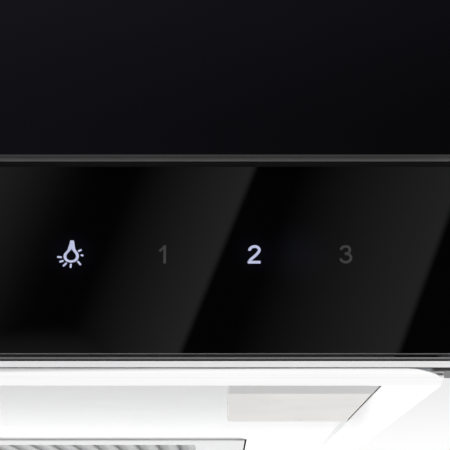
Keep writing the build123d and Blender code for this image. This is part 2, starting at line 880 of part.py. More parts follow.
def filter_frame():
    frame = block(filter_x_from, filter_x_to, filter_y_from, filter_y_to, filter_bottom, filter_top)
    frame = fillet(frame.edges().filter_by(Axis.Z), filter_corner)
    frame -= filter_window(0, filter_bottom, filter_top)
    for low in mesh_levels():
        frame -= filter_window(mesh_groove, low - mesh_play, low + mesh_sheet + mesh_play)
    pocket = block(latch_x - pocket_half, latch_x + pocket_half, latch_front - latch_clearance, pocket_back,
                   latch_plate_bottom - latch_clearance, latch_top + latch_clearance)
    window = block(latch_x - pad_half - window_margin, latch_x + pad_half + window_margin,
                   latch_front + window_margin / 2, pocket_back - window_margin / 2,
                   filter_bottom, latch_plate_bottom)
    slot = block(latch_x - tongue_half - latch_clearance, latch_x + tongue_half + latch_clearance,
                 filter_y_from, latch_front, tongue_bottom - latch_clearance,
                 tongue_bottom + latch_tongue_thickness + latch_clearance)
    frame -= pocket + window + slot
    pins = rod_x(hinge_pin_radius, filter_x_from - hinge_pin_length, filter_x_from, hinge_y, hinge_z)
    pins += rod_x(hinge_pin_radius, filter_x_to, filter_x_to + hinge_pin_length, hinge_y, hinge_z)
    return frame + pins


def mesh_levels():
    # undersides of the lower and the upper layer
    return filter_bottom + mesh_inset + mesh_play, filter_top - mesh_inset - mesh_play - mesh_sheet


def filter_mesh():
    # each layer is a sheet with staggered diamond gaps
    edge = filter_rail - mesh_groove + 2 * mesh_play
    width = filter_width - 2 * edge
    depth = filter_depth - 2 * edge
    pitch_x = (width - 2 * mesh_groove) / (mesh_columns + 0.5)
    pitch_y = (depth - 2 * mesh_groove) / mesh_rows
    half_x = pitch_x / 2 - mesh_strand / 4
    half_y = pitch_y - mesh_strand
    gap = Polygon((half_x, 0), (0, half_y / 2), (-half_x, 0), (0, -half_y / 2), align=None)
    gaps = []
    for row in range(mesh_rows):
        for column in range(mesh_columns):
            shift = 0.5 + (row % 2) * 0.5
            x = -width / 2 + mesh_groove + (column + shift) * pitch_x
            gaps.append(Pos(x, (row + 0.5) * pitch_y - depth / 2 + mesh_groove) * gap)
    sheet_face = Rectangle(width, depth) - gaps
    middle_y = (filter_y_from + filter_y_to) / 2
    layer = extrude(sheet_face, amount=mesh_sheet)
    return group([solid for low in mesh_levels() for solid in (Pos(latch_x, middle_y, low) * layer).solids()])


def filter_latch():
    plate = block(latch_x - latch_plate_width / 2, latch_x + latch_plate_width / 2,
                  latch_front, latch_back, latch_plate_bottom, latch_top)
    pad_from = latch_front + latch_pad_setback
    pad_to = pad_from + latch_pad_depth
    low = filter_bottom + latch_pad_lift
    pad = block(latch_x - pad_half, latch_x + pad_half, pad_from, pad_to, low, latch_plate_bottom)
    pad -= block(latch_x - pad_half + latch_pad_wall, latch_x + pad_half - latch_pad_wall,
                 pad_from + latch_pad_wall, pad_to, low, low + latch_grip_depth)
    tongue = block(latch_x - tongue_half, latch_x + tongue_half,
                   filter_y_from - latch_tongue_reach, latch_front,
                   tongue_bottom, tongue_bottom + latch_tongue_thickness)
    return plate + pad + tongue


def latch_keeper():
    # a leaf of spring steel that the latch tongue rests on and snaps past
    leaf_top = tongue_bottom - keeper_gap
    front = filter_y_from - latch_tongue_reach - keeper_margin
    riser_back = front + keeper_sheet
    foot = block(latch_x - keeper_half, latch_x + keeper_half, front - keeper_foot, riser_back,
                 panel_top, panel_top + keeper_sheet)
    riser = block(latch_x - keeper_half, latch_x + keeper_half, front, riser_back, panel_top, leaf_top)
    leaf = block(latch_x - keeper_half, latch_x + keeper_half, front, opening_y_from - keeper_leaf_end,
                 leaf_top - keeper_sheet, leaf_top)
    return foot + riser + leaf


# Casing ----------------------------------------------------------------------------------


def wall_holes():
    holes = []
    for side in (-1, 1):
        holes.append(rod_y(hang_hole_radius, side * hang_hole_spacing / 2, -sheet, 0, hang_hole_z))
        holes.append(rod_y(low_hole_radius, side * low_hole_spacing / 2, -sheet, 0, low_hole_z))
    return holes


def back_panel():
    panel = block(-half_body, half_body, -sheet, 0, 0, deck_bottom)
    for hole in wall_holes():
        panel -= hole
    return panel


def deck_screw_places():
    places = []
    for x in (half_body - deck_screw_inset, deck_screw_middle):
        for y in (deck_front + deck_screw_front, -deck_screw_inset):
            places.extend([(x, y), (-x, y)])
    return places


def top_deck():
    deck = block(-half_body, half_body, deck_front, 0, deck_bottom, deck_top)
    lip_x = half_body - cheek_flange - deck_lip_inset
    deck += block(-lip_x, lip_x, deck_front, deck_front + sheet, deck_bottom - deck_lip, deck_bottom)
    deck -= rod_z(collar_inner + deck_hole_clearance, 0, duct_y, deck_bottom, deck_top)
    deck -= rod_z(gland_thread_radius + screw_hole_clearance, gland_x, gland_y, deck_bottom, deck_top)
    for x, y in deck_screw_places():
        deck -= rod_z(screw_hole_radius, x, y, deck_bottom, deck_top)
    for x, y in fan_mount_places():
        deck -= rod_z(screw_hole_radius, x, y, deck_bottom, deck_top)
    return deck


def deck_screws():
    places = deck_screw_places() + fan_mount_places()
    return [solid for x, y in places for solid in screw_down(x, y, deck_top).solids()]


def wall_hooks():
    hooks = []
    for side in (-1, 1):
        x = side * hang_hole_spacing / 2
        plate = block(x - hook_width / 2, x + hook_width / 2, -sheet - hook_sheet, -sheet,
                      hang_hole_z - hook_height / 2, hang_hole_z + hook_height / 2)
        plate -= rod_y(hook_slot_radius, x, -sheet - hook_sheet, -sheet, hang_hole_z)
        shelf_z = hang_hole_z + hook_height / 2 - hook_sheet
        shelf = block(x - hook_width / 2, x + hook_width / 2, -sheet - hook_depth, -sheet - hook_sheet,
                      shelf_z, shelf_z + hook_sheet)
        shelf -= rod_z(level_screw_radius + screw_hole_clearance, x, level_screw_y,
                       shelf_z, shelf_z + hook_sheet)
        hooks.extend((plate + shelf).solids())
    return hooks


def hook_screws():
    screws = []
    shelf_top = hang_hole_z + hook_height / 2
    for side in (-1, 1):
        x = side * hang_hole_spacing / 2
        screw = rod_z(level_screw_radius, x, level_screw_y, shelf_top - level_screw_length, shelf_top)
        screw += rod_z(level_head_radius, x, level_screw_y, shelf_top, shelf_top + level_head_height)
        screws.extend(screw.solids())
    return screws


# Blower ----------------------------------------------------------------------------------

fan_top = deck_bottom - fan_top_drop
half_fan = fan_width / 2


def scroll_outline(grow):
    # spiral from the cut-off over the front, the bottom and the rear, then a straight outlet
    def point(turn):
        radius = scroll_start_radius + (scroll_end_radius - scroll_start_radius) * turn / 270 + grow
        angle = math.radians(90 + turn)
        return (fan_y + radius * math.cos(angle), fan_z + radius * math.sin(angle))

    step = 270 / scroll_steps
    edges = []
    for index in range(scroll_steps):
        start = index * step
        edges.append(ThreePointArc(point(start), point(start + step / 2), point(start + step)))
    edges.append(Line(point(270), (fan_y, fan_z)))
    edges.append(Line((fan_y, fan_z), point(0)))
    width = scroll_end_radius + 2 * grow
    outlet = Pos(fan_y - grow + width / 2, (fan_z + fan_top) / 2) * Rectangle(width, fan_top - fan_z)
    return make_face(edges) + outlet


def volute_scroll():
    shell = along_x(scroll_outline(sheet), -half_fan, half_fan)
    shell -= along_x(scroll_outline(0), -half_fan, half_fan)
    rear = fan_y + scroll_end_radius + sheet
    front = fan_y - sheet
    flange = block(-half_fan - fan_flange, half_fan + fan_flange, front - fan_flange, rear + fan_flange,
                   fan_top - sheet, fan_top)
    flange -= block(-half_fan - sheet, half_fan + sheet, front + sheet, rear - sheet,
                    fan_top - sheet, fan_top)
    for x, y in fan_mount_places():
        flange -= rod_z(screw_hole_radius, x, y, fan_top - sheet, fan_top)
    return shell + flange


def fan_mount_places():
    rear = fan_y + scroll_end_radius + sheet + fan_flange / 2
    front = fan_y - sheet - fan_flange / 2
    x = half_fan + fan_flange / 2
    return [(x, rear), (-x, rear), (x, front), (-x, front)]


def vibration_mounts():
    mounts = []
    for x, y in fan_mount_places():
        bobbin = rod_z(mount_radius, x, y, fan_top, deck_bottom)
        bobbin -= rod_z(screw_hole_radius, x, y, fan_top, deck_bottom)
        mounts.extend(bobbin.solids())
    return mounts


def volute_side():
    # the right side plate, with its inlet
    plate = along_x(scroll_outline(sheet), half_fan, half_fan + sheet)
    wide = 2 * scroll_end_radius
    plate -= block(half_fan, half_fan + sheet, fan_y - wide, fan_y + wide, fan_top - sheet, fan_top + sheet)
    return plate - rod_x(inlet_radius, half_fan, half_fan + sheet, fan_y, fan_z)


def inlet_ring():
    plate = half_fan + sheet
    inner = plate - inlet_ring_depth
    outer = plate + inlet_ring_sheet
    profile = rod_x(inlet_radius - inlet_ring_clearance, inner, plate, fan_y, fan_z)
    profile += rod_x(inlet_radius + inlet_ring_width, plate, outer, fan_y, fan_z)
    return profile - rod_x(inlet_radius - inlet_ring_sheet, inner, outer, fan_y, fan_z)


def impeller():
    half = half_fan - impeller_side_clearance
    ring = rod_x(impeller_radius, half - impeller_sheet, half, fan_y, fan_z)
    ring -= rod_x(impeller_radius - impeller_ring, half - impeller_sheet, half, fan_y, fan_z)
    whole = rod_x(impeller_radius, -impeller_sheet / 2, impeller_sheet / 2, fan_y, fan_z)
    whole += rod_x(hub_radius, -hub_length / 2, hub_length / 2, fan_y, fan_z)
    whole += ring + mirrored(ring)
    middle = impeller_radius - impeller_ring / 2
    span = 2 * half - impeller_sheet / 2
    blade = Pos(0, 0, middle) * Rot(blade_angle, 0, 0) * Box(span, blade_thickness, blade_depth)
    for index in range(blade_count):
        whole += Pos(0, fan_y, fan_z) * Rot(index * 360 / blade_count, 0, 0) * blade
    return whole - rod_x(shaft_radius, -hub_length, hub_length, fan_y, fan_z)


motor_face = -half_fan - sheet - inlet_ring_sheet - motor_gap
motor_back = motor_face - motor_length


def motor_shaft():
    return rod_x(shaft_radius, motor_back - shaft_end, hub_length / 2 + shaft_end, fan_y, fan_z)


def motor():
    body = rod_x(motor_radius, motor_back, motor_face, fan_y, fan_z)
    body = fillet(body.edges(), motor_round)
    for index in range(motor_rib_count):
        rib = block(motor_back + motor_rib_inset, motor_face - motor_rib_inset,
                    -motor_rib_width / 2, motor_rib_width / 2,
                    motor_radius - motor_rib, motor_radius + motor_rib)
        body += Pos(0, fan_y, fan_z) * Rot(index * 360 / motor_rib_count, 0, 0) * rib
    return body - rod_x(shaft_radius + shaft_clearance, motor_back, motor_face, fan_y, fan_z)


def motor_bracket():
    # a ring on the motor's face, with three arms to the side plate
    back = motor_face + bracket_thickness
    ring_radius = motor_radius - bracket_inset
    ring = rod_x(ring_radius, motor_face, back, fan_y, fan_z)
    ring -= rod_x(ring_radius - bracket_ring, motor_face, back, fan_y, fan_z)
    reach = inlet_radius + inlet_ring_width + bracket_clearance
    for index in range(3):
        arm = block(motor_face, back, -bracket_arm / 2, bracket_arm / 2,
                    ring_radius - bracket_ring / 2, reach)
        arm += block(motor_face, -half_fan - sheet, -bracket_arm / 2, bracket_arm / 2,
                     reach - bracket_thickness, reach)
        ring += Pos(0, fan_y, fan_z) * Rot(60 + index * 120, 0, 0) * arm
    return ring


def motor_capacitor():
    # a can on a clip, above the control box
    y = -sheet - capacitor_radius - capacitor_stand
    z = box_z + box_height + capacitor_lift
    x = box_x + capacitor_inset
    end = x + capacitor_length
    can = rod_x(capacitor_radius, x, end, y, z)
    clip_x = x + capacitor_clip_inset
    can += block(clip_x, clip_x + capacitor_clip, -sheet - 2 * capacitor_stand - 1, -sheet,
                 z - capacitor_clip_height / 2, z + capacitor_clip_height / 2)
    return can + rod_x(capacitor_cap_radius, end, end + capacitor_cap, y, z)


# Outlet ----------------------------------------------------------------------------------

damper_z = deck_top + damper_lift
collar_inner = collar_radius - collar_wall
damper_hole_radius = damper_pin_radius + damper_pin_clearance


def outlet_collar():
    whole = rod_z(collar_radius, 0, duct_y, deck_top, deck_top + collar_height)
    flange_top = deck_top + collar_flange_thickness
    whole += rod_z(collar_radius + collar_flange, 0, duct_y, deck_top, flange_top)
    whole -= rod_z(collar_inner, 0, duct_y, deck_top, deck_top + collar_height)
    # lugs that the closed flaps rest on, and the bearings of their pin
    stop_top = damper_z - damper_thickness / 2 - damper_rest_gap
    for side in (-1, 1):
        wall_y = duct_y + side * (collar_inner + collar_wall / 2)
        lug_y = duct_y + side * (collar_inner - stop_depth)
        whole += block(-stop_width / 2, stop_width / 2, min(wall_y, lug_y), max(wall_y, lug_y),
                       stop_top - stop_height, stop_top)
        wall_x = side * (collar_inner + collar_wall / 2)
        boss_x = side * (collar_inner - damper_boss_length)
        whole += rod_x(damper_boss_radius, min(wall_x, boss_x), max(wall_x, boss_x), duct_y, damper_z)
    return whole - rod_x(damper_hole_radius, -collar_inner, collar_inner, duct_y, damper_z)


def damper_pin():
    end = collar_inner - damper_pin_end
    return rod_x(damper_pin_radius, -end, end, duct_y, damper_z)


def damper_flap(side, knuckles):
    # half a disc on one side of the pin, with its knuckles round the pin
    low = damper_z - damper_thickness / 2
    high = damper_z + damper_thickness / 2
    disc = rod_z(collar_inner - damper_edge_clearance, 0, duct_y, low, high)
    reach = damper_knuckle_radius + damper_near_clearance
    far = 2 * collar_radius
    near_y, far_y = sorted((side * reach, side * far))
    whole = disc & block(-far, far, duct_y + near_y, duct_y + far_y, low, high)
    inner, outer = sorted((0, side * (reach + damper_knuckle_radius / 2)))
    for x in knuckles:
        start = x - damper_knuckle_length / 2
        end = x + damper_knuckle_length / 2
        whole += block(start, end, duct_y + inner, duct_y + outer, low, high)
        whole += rod_x(damper_knuckle_radius, start, end, duct_y, damper_z)
    return whole - rod_x(damper_hole_radius, -collar_radius, collar_radius, duct_y, damper_z)


def knuckle_places(side):
    # the two flaps' knuckles take turns along the pin
    pitch = damper_knuckle_length + damper_knuckle_gap
    return [side * pitch / 2, -side * pitch * 1.5]


# Electrical ------------------------------------------------------------------------------


box_front = -sheet - box_depth
board_back = -sheet - box_wall - pillar_height
board_front = board_back - board_thickness


def box_block(left, width, low, height, front, back):
    # a block placed from the control box's lower left corner
    return block(box_x + left, box_x + left + width, front, back, box_z + low, box_z + low + height)


def control_box():
    outer = box_block(0, box_width, 0, box_height, box_front, -sheet)
    outer -= box_block(box_wall, box_width - 2 * box_wall, box_wall, box_height - 2 * box_wall,
                       box_front, -sheet - box_wall)
    for x in (box_x + pillar_inset, box_x + box_width - pillar_inset):
        for z in (box_z + pillar_inset, box_z + box_height - pillar_inset):
            outer += rod_y(pillar_radius, x, board_back, -sheet - box_wall, z)
    return outer


def control_box_lid():
    grow = lid_clearance + lid_thickness
    lid = box_block(-grow, box_width + 2 * grow, -grow, box_height + 2 * grow,
                    box_front - lid_thickness, box_front + lid_lap)
    return lid - box_block(-lid_clearance, box_width + 2 * lid_clearance, -lid_clearance,
                           box_height + 2 * lid_clearance, box_front, box_front + lid_lap)


def main_board():
    board = box_block(board_margin, box_width - 2 * board_margin, board_margin, box_height - 2 * board_margin,
                      board_front, board_back)
    board += box_block(transformer_left, transformer_width, transformer_low, transformer_height,
                       board_front - transformer_depth, board_front)
    for index in range(relay_count):
        board += box_block(relay_left, relay_size, relay_low + index * relay_pitch, relay_height,
                           board_front - relay_depth, board_front)
    for index in range(can_count):
        board += rod_y(can_radius, box_x + can_left, board_front - can_depth, board_front,
                       box_z + can_low + index * can_pitch)
    return board


def terminal_block():
    front = board_front - terminal_depth
    body = box_block(terminal_left, terminal_width, terminal_low, terminal_height, front, board_front)
    z = box_z + terminal_low
    for index in range(terminal_count):
        x = box_x + terminal_left + (index + 0.5) * terminal_width / terminal_count
        body -= rod_y(terminal_screw_radius, x, front, front + terminal_screw_depth, z + terminal_height / 2)
        body -= rod_z(terminal_wire_radius, x, board_front - terminal_depth / 2, z, z + terminal_wire_depth)
    return body


def cable_gland():
    low = deck_bottom - gland_below
    top = deck_top + gland_height
    nut_top = top - gland_dome
    body = rod_z(gland_thread_radius, gland_x, gland_y, low, deck_top)
    body += rod_z(gland_body_radius + gland_rim, gland_x, gland_y, deck_top, deck_top + gland_rim_height)
    hexagon = RegularPolygon(gland_body_radius, 6)
    nut = Pos(gland_x, gland_y, deck_top) * extrude(hexagon, amount=nut_top - deck_top)
    lock_nut = Pos(gland_x, gland_y, deck_bottom - gland_nut) * extrude(hexagon, amount=gland_nut)
    dome = rod_z(gland_body_radius - gland_dome_step, gland_x, gland_y, nut_top, top)
    dome = chamfer(dome.edges().group_by(Axis.Z)[-1], gland_rim)
    return body + nut + dome + lock_nut - rod_z(gland_bore, gland_x, gland_y, low, top)


# Chimney ---------------------------------------------------------------------------------

foot_gap = 0.3
lower_bottom = deck_top + foot_gap
upper_bottom = deck_top + chimney_upper_start
upper_top = upper_bottom + chimney_upper_height
bracket_top = upper_top - bracket_drop
bracket_bottom = bracket_top - bracket_height
bracket_middle = (bracket_top + bracket_bottom) / 2
bracket_screw_y = -bracket_screw_out


def cover_outline(inset):
    # three-sided cover with turned-in rear lips, drawn in (X, Y)
    outer = chimney_outline(inset)
    inner = chimney_outline(inset + sheet)
    gap_half = chimney_width / 2 - inset - chimney_lip
    return outer - inner - Rectangle(2 * gap_half, rear_cut)


def chimney_outline(inset):
    width = chimney_width - 2 * inset
    depth = chimney_depth - 2 * inset
    radius = max(chimney_corner - inset, sheet / 2)
    return Pos(0, -chimney_depth / 2) * RectangleRounded(width, depth, radius)


def chimney_screw_places():
    # side, y and z of the screws through the lower cover into the foot
    z = lower_bottom + chimney_foot_height / 2
    ys = (-chimney_screw_inset, -chimney_depth + chimney_screw_inset)
    return [(side, y, z) for side in (-1, 1) for y in ys]


def chimney_lower():
    cover = extrude(Plane.XY.offset(lower_bottom) * cover_outline(0), amount=chimney_lower_height)
    for side, y, z in chimney_screw_places():
        cover -= side_hole(screw_hole_radius, side, chimney_width / 2, y, z)
    return cover


def chimney_upper():
    inset = sheet + chimney_gap
    cover = extrude(Plane.XY.offset(upper_bottom) * cover_outline(inset), amount=chimney_upper_height)
    outer = chimney_width / 2 - inset
    for index in range(vent_count):
        z = upper_top - vent_top_margin - bracket_height - index * vent_pitch
        slot = Pos(0, -chimney_depth / 2, z) * Rot(0, 90, 0) * extrude(
            SlotOverall(vent_length, vent_height, rotation=90), amount=chimney_width, both=True)
        cover -= slot
    # the rear lips stop below the wall bracket
    cover -= block(-outer + sheet, outer - sheet, -inset - 2 * sheet, 0,
                   bracket_bottom - bracket_sheet, upper_top)
    for side in (-1, 1):
        cover -= side_hole(screw_hole_radius, side, outer, bracket_screw_y, bracket_middle)
    return cover


def chimney_foot():
    # the angle frame on the deck that the lower cover is screwed to
    inset = sheet + foot_gap
    outer = extrude(Plane.XY.offset(deck_top) * cover_outline(inset), amount=chimney_foot_height)
    flat = chimney_outline(inset) - chimney_outline(inset + foot_lap)
    flat -= Rectangle(2 * (chimney_width / 2 - inset - chimney_lip), rear_cut + 2 * foot_lap)
    whole = outer + extrude(Plane.XY.offset(deck_top) * flat, amount=sheet)
    for side, y, z in chimney_screw_places():
        whole -= side_hole(screw_hole_radius, side, chimney_width / 2 - inset, y, z)
    return whole


def chimney_screws():
    return [solid for side, y, z in chimney_screw_places()
            for solid in screw_side(side, side * chimney_width / 2, y, z).solids()]


def chimney_bracket():
    inset = 2 * sheet + chimney_gap + foot_gap
    outer = chimney_width / 2 - inset
    base = block(-outer, outer, -bracket_sheet, 0, bracket_bottom, bracket_top)
    for side in (-1, 1):
        near, far = sorted((side * outer, side * (outer - bracket_sheet)))
        base += block(near, far, -bracket_depth, -bracket_sheet, bracket_bottom, bracket_top)
    for side in (-1, 1):
        x = side * bracket_hole_spacing / 2
        base -= rod_y(bracket_hole_radius, x, -bracket_sheet, 0, bracket_middle)
        base -= side_hole(screw_hole_radius, side, outer, bracket_screw_y, bracket_middle)
    return base


def chimney_bracket_screws():
    outer = chimney_width / 2 - sheet - chimney_gap
    return [solid for side in (-1, 1)
            for solid in screw_side(side, side * outer, bracket_screw_y, bracket_middle).solids()]


# Everything ------------------------------------------------------------------------------


def group(solids):
    return Compound(children=list(solids))


def main():
    save("curved_glass", curved_glass())
    save("glass_gaskets", glass_gaskets())
    save("control_glass", control_glass())
    save("icons_lit", group(lit_icons()))
    save("icons_dim", group(dim_icons()))
    save("glass_carrier", glass_carrier())
    save("front_rail", front_rail())
    save("icon_light_box", icon_light_box())
    save("touch_pads", group(touch_pads()))
    save("touch_board", touch_board())
    save("tray", tray())
    save_pair("cheek", cheek())
    save_pair("corner_cap", corner_cap())
    save_pair("lamp_bezel", lamp_bezel())
    save_pair("lamp_lens", lamp_lens())
    save_pair("lamp_housing", lamp_housing())
    save_pair("lamp_board", lamp_board())
    save_pair("filter_frame", filter_frame())
    save_pair("filter_mesh", filter_mesh())
    save_pair("filter_latch", filter_latch())
    save_pair("latch_keeper", latch_keeper())
    save("back_panel", back_panel())
    save("top_deck", top_deck())
    save("casing_screws", group(deck_screws() + chimney_screws()))
    save("wall_hooks", group(wall_hooks()))
    save("hook_screws", group(hook_screws()))
    save("volute_scroll", volute_scroll())
    save_pair("volute_side", volute_side())
    save("inlet_rings", group([*inlet_ring().solids(), *mirrored(inlet_ring()).solids()]))
    save("vibration_mounts", group(vibration_mounts()))
    save("impeller", impeller())
    save("motor_shaft", motor_shaft())
    save("motor", motor())
    save("motor_bracket", motor_bracket())
    save("motor_capacitor", motor_capacitor())
    save("outlet_collar", outlet_collar())
    save("damper_pin", damper_pin())
    save("damper_flap_front", damper_flap(-1, knuckle_places(1)))
    save("damper_flap_rear", damper_flap(1, knuckle_places(-1)))
    save("control_box", control_box())
    save("control_box_lid", control_box_lid())
    save("main_board", main_board())
    save("terminal_block", terminal_block())
    save("cable_gland", cable_gland())
    save("chimney_foot", chimney_foot())
    save("chimney_lower", chimney_lower())
    save("chimney_upper", chimney_upper())
    save("chimney_bracket", chimney_bracket())
    save("chimney_bracket_screws", group(chimney_bracket_screws()))


main()
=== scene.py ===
import json
import math

import bpy
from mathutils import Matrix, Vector


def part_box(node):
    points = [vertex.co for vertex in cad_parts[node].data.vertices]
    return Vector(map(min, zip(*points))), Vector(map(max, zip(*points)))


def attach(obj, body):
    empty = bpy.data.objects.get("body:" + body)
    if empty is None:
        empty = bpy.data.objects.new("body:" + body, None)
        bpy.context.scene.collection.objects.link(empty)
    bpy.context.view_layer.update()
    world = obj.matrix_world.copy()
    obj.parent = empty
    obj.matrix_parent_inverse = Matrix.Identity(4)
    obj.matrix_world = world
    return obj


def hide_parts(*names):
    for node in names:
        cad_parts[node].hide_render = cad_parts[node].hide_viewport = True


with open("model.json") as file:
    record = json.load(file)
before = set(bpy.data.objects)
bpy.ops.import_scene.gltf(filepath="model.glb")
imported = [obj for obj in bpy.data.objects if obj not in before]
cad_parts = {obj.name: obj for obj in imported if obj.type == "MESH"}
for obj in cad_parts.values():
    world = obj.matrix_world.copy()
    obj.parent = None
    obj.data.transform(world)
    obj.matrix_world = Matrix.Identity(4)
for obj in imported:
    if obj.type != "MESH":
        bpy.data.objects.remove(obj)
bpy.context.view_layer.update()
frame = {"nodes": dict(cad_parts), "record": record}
nodeObjects = frame["nodes"]
print("frame loaded,", len(nodeObjects), "nodes")

origin = (0.0, 0.0, 0.0)
midNoise = (0.35, 0.65)  # a noise stays mostly within this range
wideNoise = (0.3, 0.7)
socketKinds = {int: "Int", float: "Float", tuple: "Vector"}


# small helpers for node trees

def addNode(tree, kind, inputs=None, **settings):
    node = tree.nodes.new(kind)
    for key, value in settings.items():
        setattr(node, key, value)
    for key, value in (inputs or {}).items():
        if isinstance(value, bpy.types.NodeSocket):
            tree.links.new(value, node.inputs[key])
        else:
            node.inputs[key].default_value = value
    return node


def nodeOut(tree, kind, inputs=None, **settings):
    return addNode(tree, kind, inputs, **settings).outputs[0]


def treeOf(*values):
    # the node tree that the first socket among the values belongs to
    return next(value.id_data for value in values if isinstance(value, bpy.types.NodeSocket))


def calc(operation, first, second=0.0, clamp=False):
    return nodeOut(treeOf(first, second), "ShaderNodeMath", {0: first, 1: second},
                   operation=operation, use_clamp=clamp)


def times(first, second, clamp=False):
    return calc("MULTIPLY", first, second, clamp)


def plus(first, second):
    return calc("ADD", first, second)


def minus(first, second):
    return calc("SUBTRACT", first, second)


def over(first, second):
    return calc("DIVIDE", first, second)


def remap(value, fromLow, fromHigh, toLow=0.0, toHigh=1.0, smooth=True):
    inputs = {0: value, 1: fromLow, 2: fromHigh, 3: toLow, 4: toHigh}
    curve = "SMOOTHSTEP" if smooth else "LINEAR"
    return nodeOut(treeOf(value), "ShaderNodeMapRange", inputs, interpolation_type=curve)


def mixValues(factor, first, second):
    return nodeOut(treeOf(factor), "ShaderNodeMix", {0: factor, 2: first, 3: second})


def mixColours(factor, first, second, blend="MIX"):
    inputs = {0: factor}
    for index, value in ((6, first), (7, second)):
        inputs[index] = (*value, 1) if isinstance(value, tuple) else value
    return addNode(treeOf(factor, first, second), "ShaderNodeMix", inputs, data_type="RGBA",
                   blend_type=blend).outputs[2]


def axes(place):
    return addNode(treeOf(place), "ShaderNodeSeparateXYZ", {0: place}).outputs


def vector(tree, x=0.0, y=0.0, z=0.0):
    return nodeOut(tree, "ShaderNodeCombineXYZ", {0: x, 1: y, 2: z})


def distance(first, second):
    return addNode(treeOf(first), "ShaderNodeVectorMath", {0: first, 1: second},
                   operation="DISTANCE").outputs["Value"]


def noise(place, scale, detail=2.0, **more):
    inputs = {"Vector": place, "Scale": scale, "Detail": detail, **more}
    return addNode(treeOf(place), "ShaderNodeTexNoise", inputs).outputs


def voronoi(place, scale, **settings):
    inputs = {"Vector": place, "Scale": scale}
    return addNode(treeOf(place), "ShaderNodeTexVoronoi", inputs, **settings).outputs


def addInputs(tree, values):
    for label, value in values.items():
        socket = tree.interface.new_socket(label, in_out="INPUT",
                                           socket_type="NodeSocket" + socketKinds[type(value)])
        socket.default_value = value


def addObject(name, data):
    made = bpy.data.objects.new(name, data)
    bpy.context.collection.objects.link(made)
    return made


# effects that several finishes share

def startEffect(name, values):
    group = bpy.data.node_groups.new(name, "ShaderNodeTree")
    addInputs(group, values)
    return group, addNode(group, "NodeGroupInput").outputs


def closeEffect(group, **results):
    for label in results:
        kind = "NodeSocketVector" if label == "Normal" else "NodeSocketFloat"
        group.interface.new_socket(label, in_out="OUTPUT", socket_type=kind)
    addNode(group, "NodeGroupOutput", results)
    return group


grainValues = {"detail": 3.0, "roughness": 0.62, "wave": 6.0}


def buildBrushedGrain(values):
    # fine lines along one axis, a broad wave of tone under them
    group, given = startEffect("brushedGrain", {"Vector": origin, "Stretch": (20, 4000, 4000),
                                                "Contrast": 0.5})
    scaled = nodeOut(group, "ShaderNodeMapping", {0: given["Vector"], 3: given["Stretch"]})
    fine = noise(scaled, 1.0, values["detail"], Roughness=values["roughness"])["Fac"]
    half = times(given["Contrast"], 0.5)
    lines = remap(fine, minus(0.5, half), plus(0.5, half), smooth=False)
    return closeEffect(group, Lines=lines, Tone=noise(given["Vector"], values["wave"])["Fac"])


edgeValues = {"samples": 4, "turn": (0.02, 0.2), "scale": 60.0, "detail": 4.0,
              "patches": (0.45, 0.7)}


def buildSoftEdge(values):
    # rounded look on sharp edges, and a mask where they wear
    group, given = startEffect("softEdge", {"Radius": 0.0006, "Vector": origin})
    bevel = nodeOut(group, "ShaderNodeBevel", {"Radius": given["Radius"]},
                    samples=values["samples"])
    flat = addNode(group, "ShaderNodeNewGeometry").outputs["Normal"]
    alike = addNode(group, "ShaderNodeVectorMath", {0: bevel, 1: flat},
                    operation="DOT_PRODUCT").outputs["Value"]
    edge = remap(minus(1.0, alike), *values["turn"])
    cloud = noise(given["Vector"], values["scale"], values["detail"])["Fac"]
    return closeEffect(group, Normal=bevel, Wear=times(edge, remap(cloud, *values["patches"])))


filmValues = {"up": (0.1, 0.95), "scale": 140.0, "detail": 8.0, "roughness": 0.75,
              "patches": (0.3, 0.85), "specks": 90.0, "speckSize": (0.045, 0.02),
              "speckShare": (0.93, 0.95)}


def buildDustFilm(values):
    # light dust that settles on faces turned up, with a few specks
    group, given = startEffect("dustFilm", {"Vector": origin, "Amount": 0.2, "Specks": 0.5})
    up = axes(addNode(group, "ShaderNodeNewGeometry").outputs["Normal"])["Z"]
    cloud = noise(given["Vector"], values["scale"], values["detail"],
                  Roughness=values["roughness"])["Fac"]
    film = times(remap(up, *values["up"]), remap(cloud, *values["patches"]))
    film = times(film, given["Amount"])
    cells = voronoi(given["Vector"], values["specks"])
    chosen = nodeOut(group, "ShaderNodeSeparateColor", {0: cells["Color"]})
    dots = remap(cells["Distance"], *values["speckSize"])
    dots = times(times(dots, remap(chosen, *values["speckShare"])), given["Specks"])
    return closeEffect(group, Mask=calc("MAXIMUM", film, dots, clamp=True))


wipeValues = {"turn": (0.0, 0.5, 0.4), "squeeze": (1.0, 1.0, 3.2), "detail": 5.0,
              "roughness": 0.6, "warp": 0.8, "streaks": (0.5, 0.8), "prints": 45.0,
              "printShare": (0.4, 1.0)}


def buildSmudges(values):
    # wiped streaks and finger marks on glass and polished steel
    group, given = startEffect("smudges", {"Vector": origin, "Scale": 5.0, "Amount": 1.0})
    turned = nodeOut(group, "ShaderNodeMapping", {0: given["Vector"], 2: values["turn"],
                                                  3: values["squeeze"]})
    wipe = noise(turned, given["Scale"], values["detail"], Roughness=values["roughness"],
                 Distortion=values["warp"])["Fac"]
    prints = noise(given["Vector"], values["prints"])["Fac"]
    both = times(remap(wipe, *values["streaks"]),
                 remap(prints, *wideNoise, *values["printShare"]))
    return closeEffect(group, Mask=times(both, given["Amount"], clamp=True))


def buildFineGrain():
    # small even bumps of moulded plastic, paint and rubber
    group, given = startEffect("fineGrain", {"Vector": origin, "Scale": 1500.0, "Drift": 8.0})
    return closeEffect(group, Height=noise(given["Vector"], given["Scale"])["Fac"],
                       Tone=noise(given["Vector"], given["Drift"], 3.0)["Fac"])


spangleValues = {"warpScale": 90.0, "warp": 0.006, "border": (0.08, 0.0)}


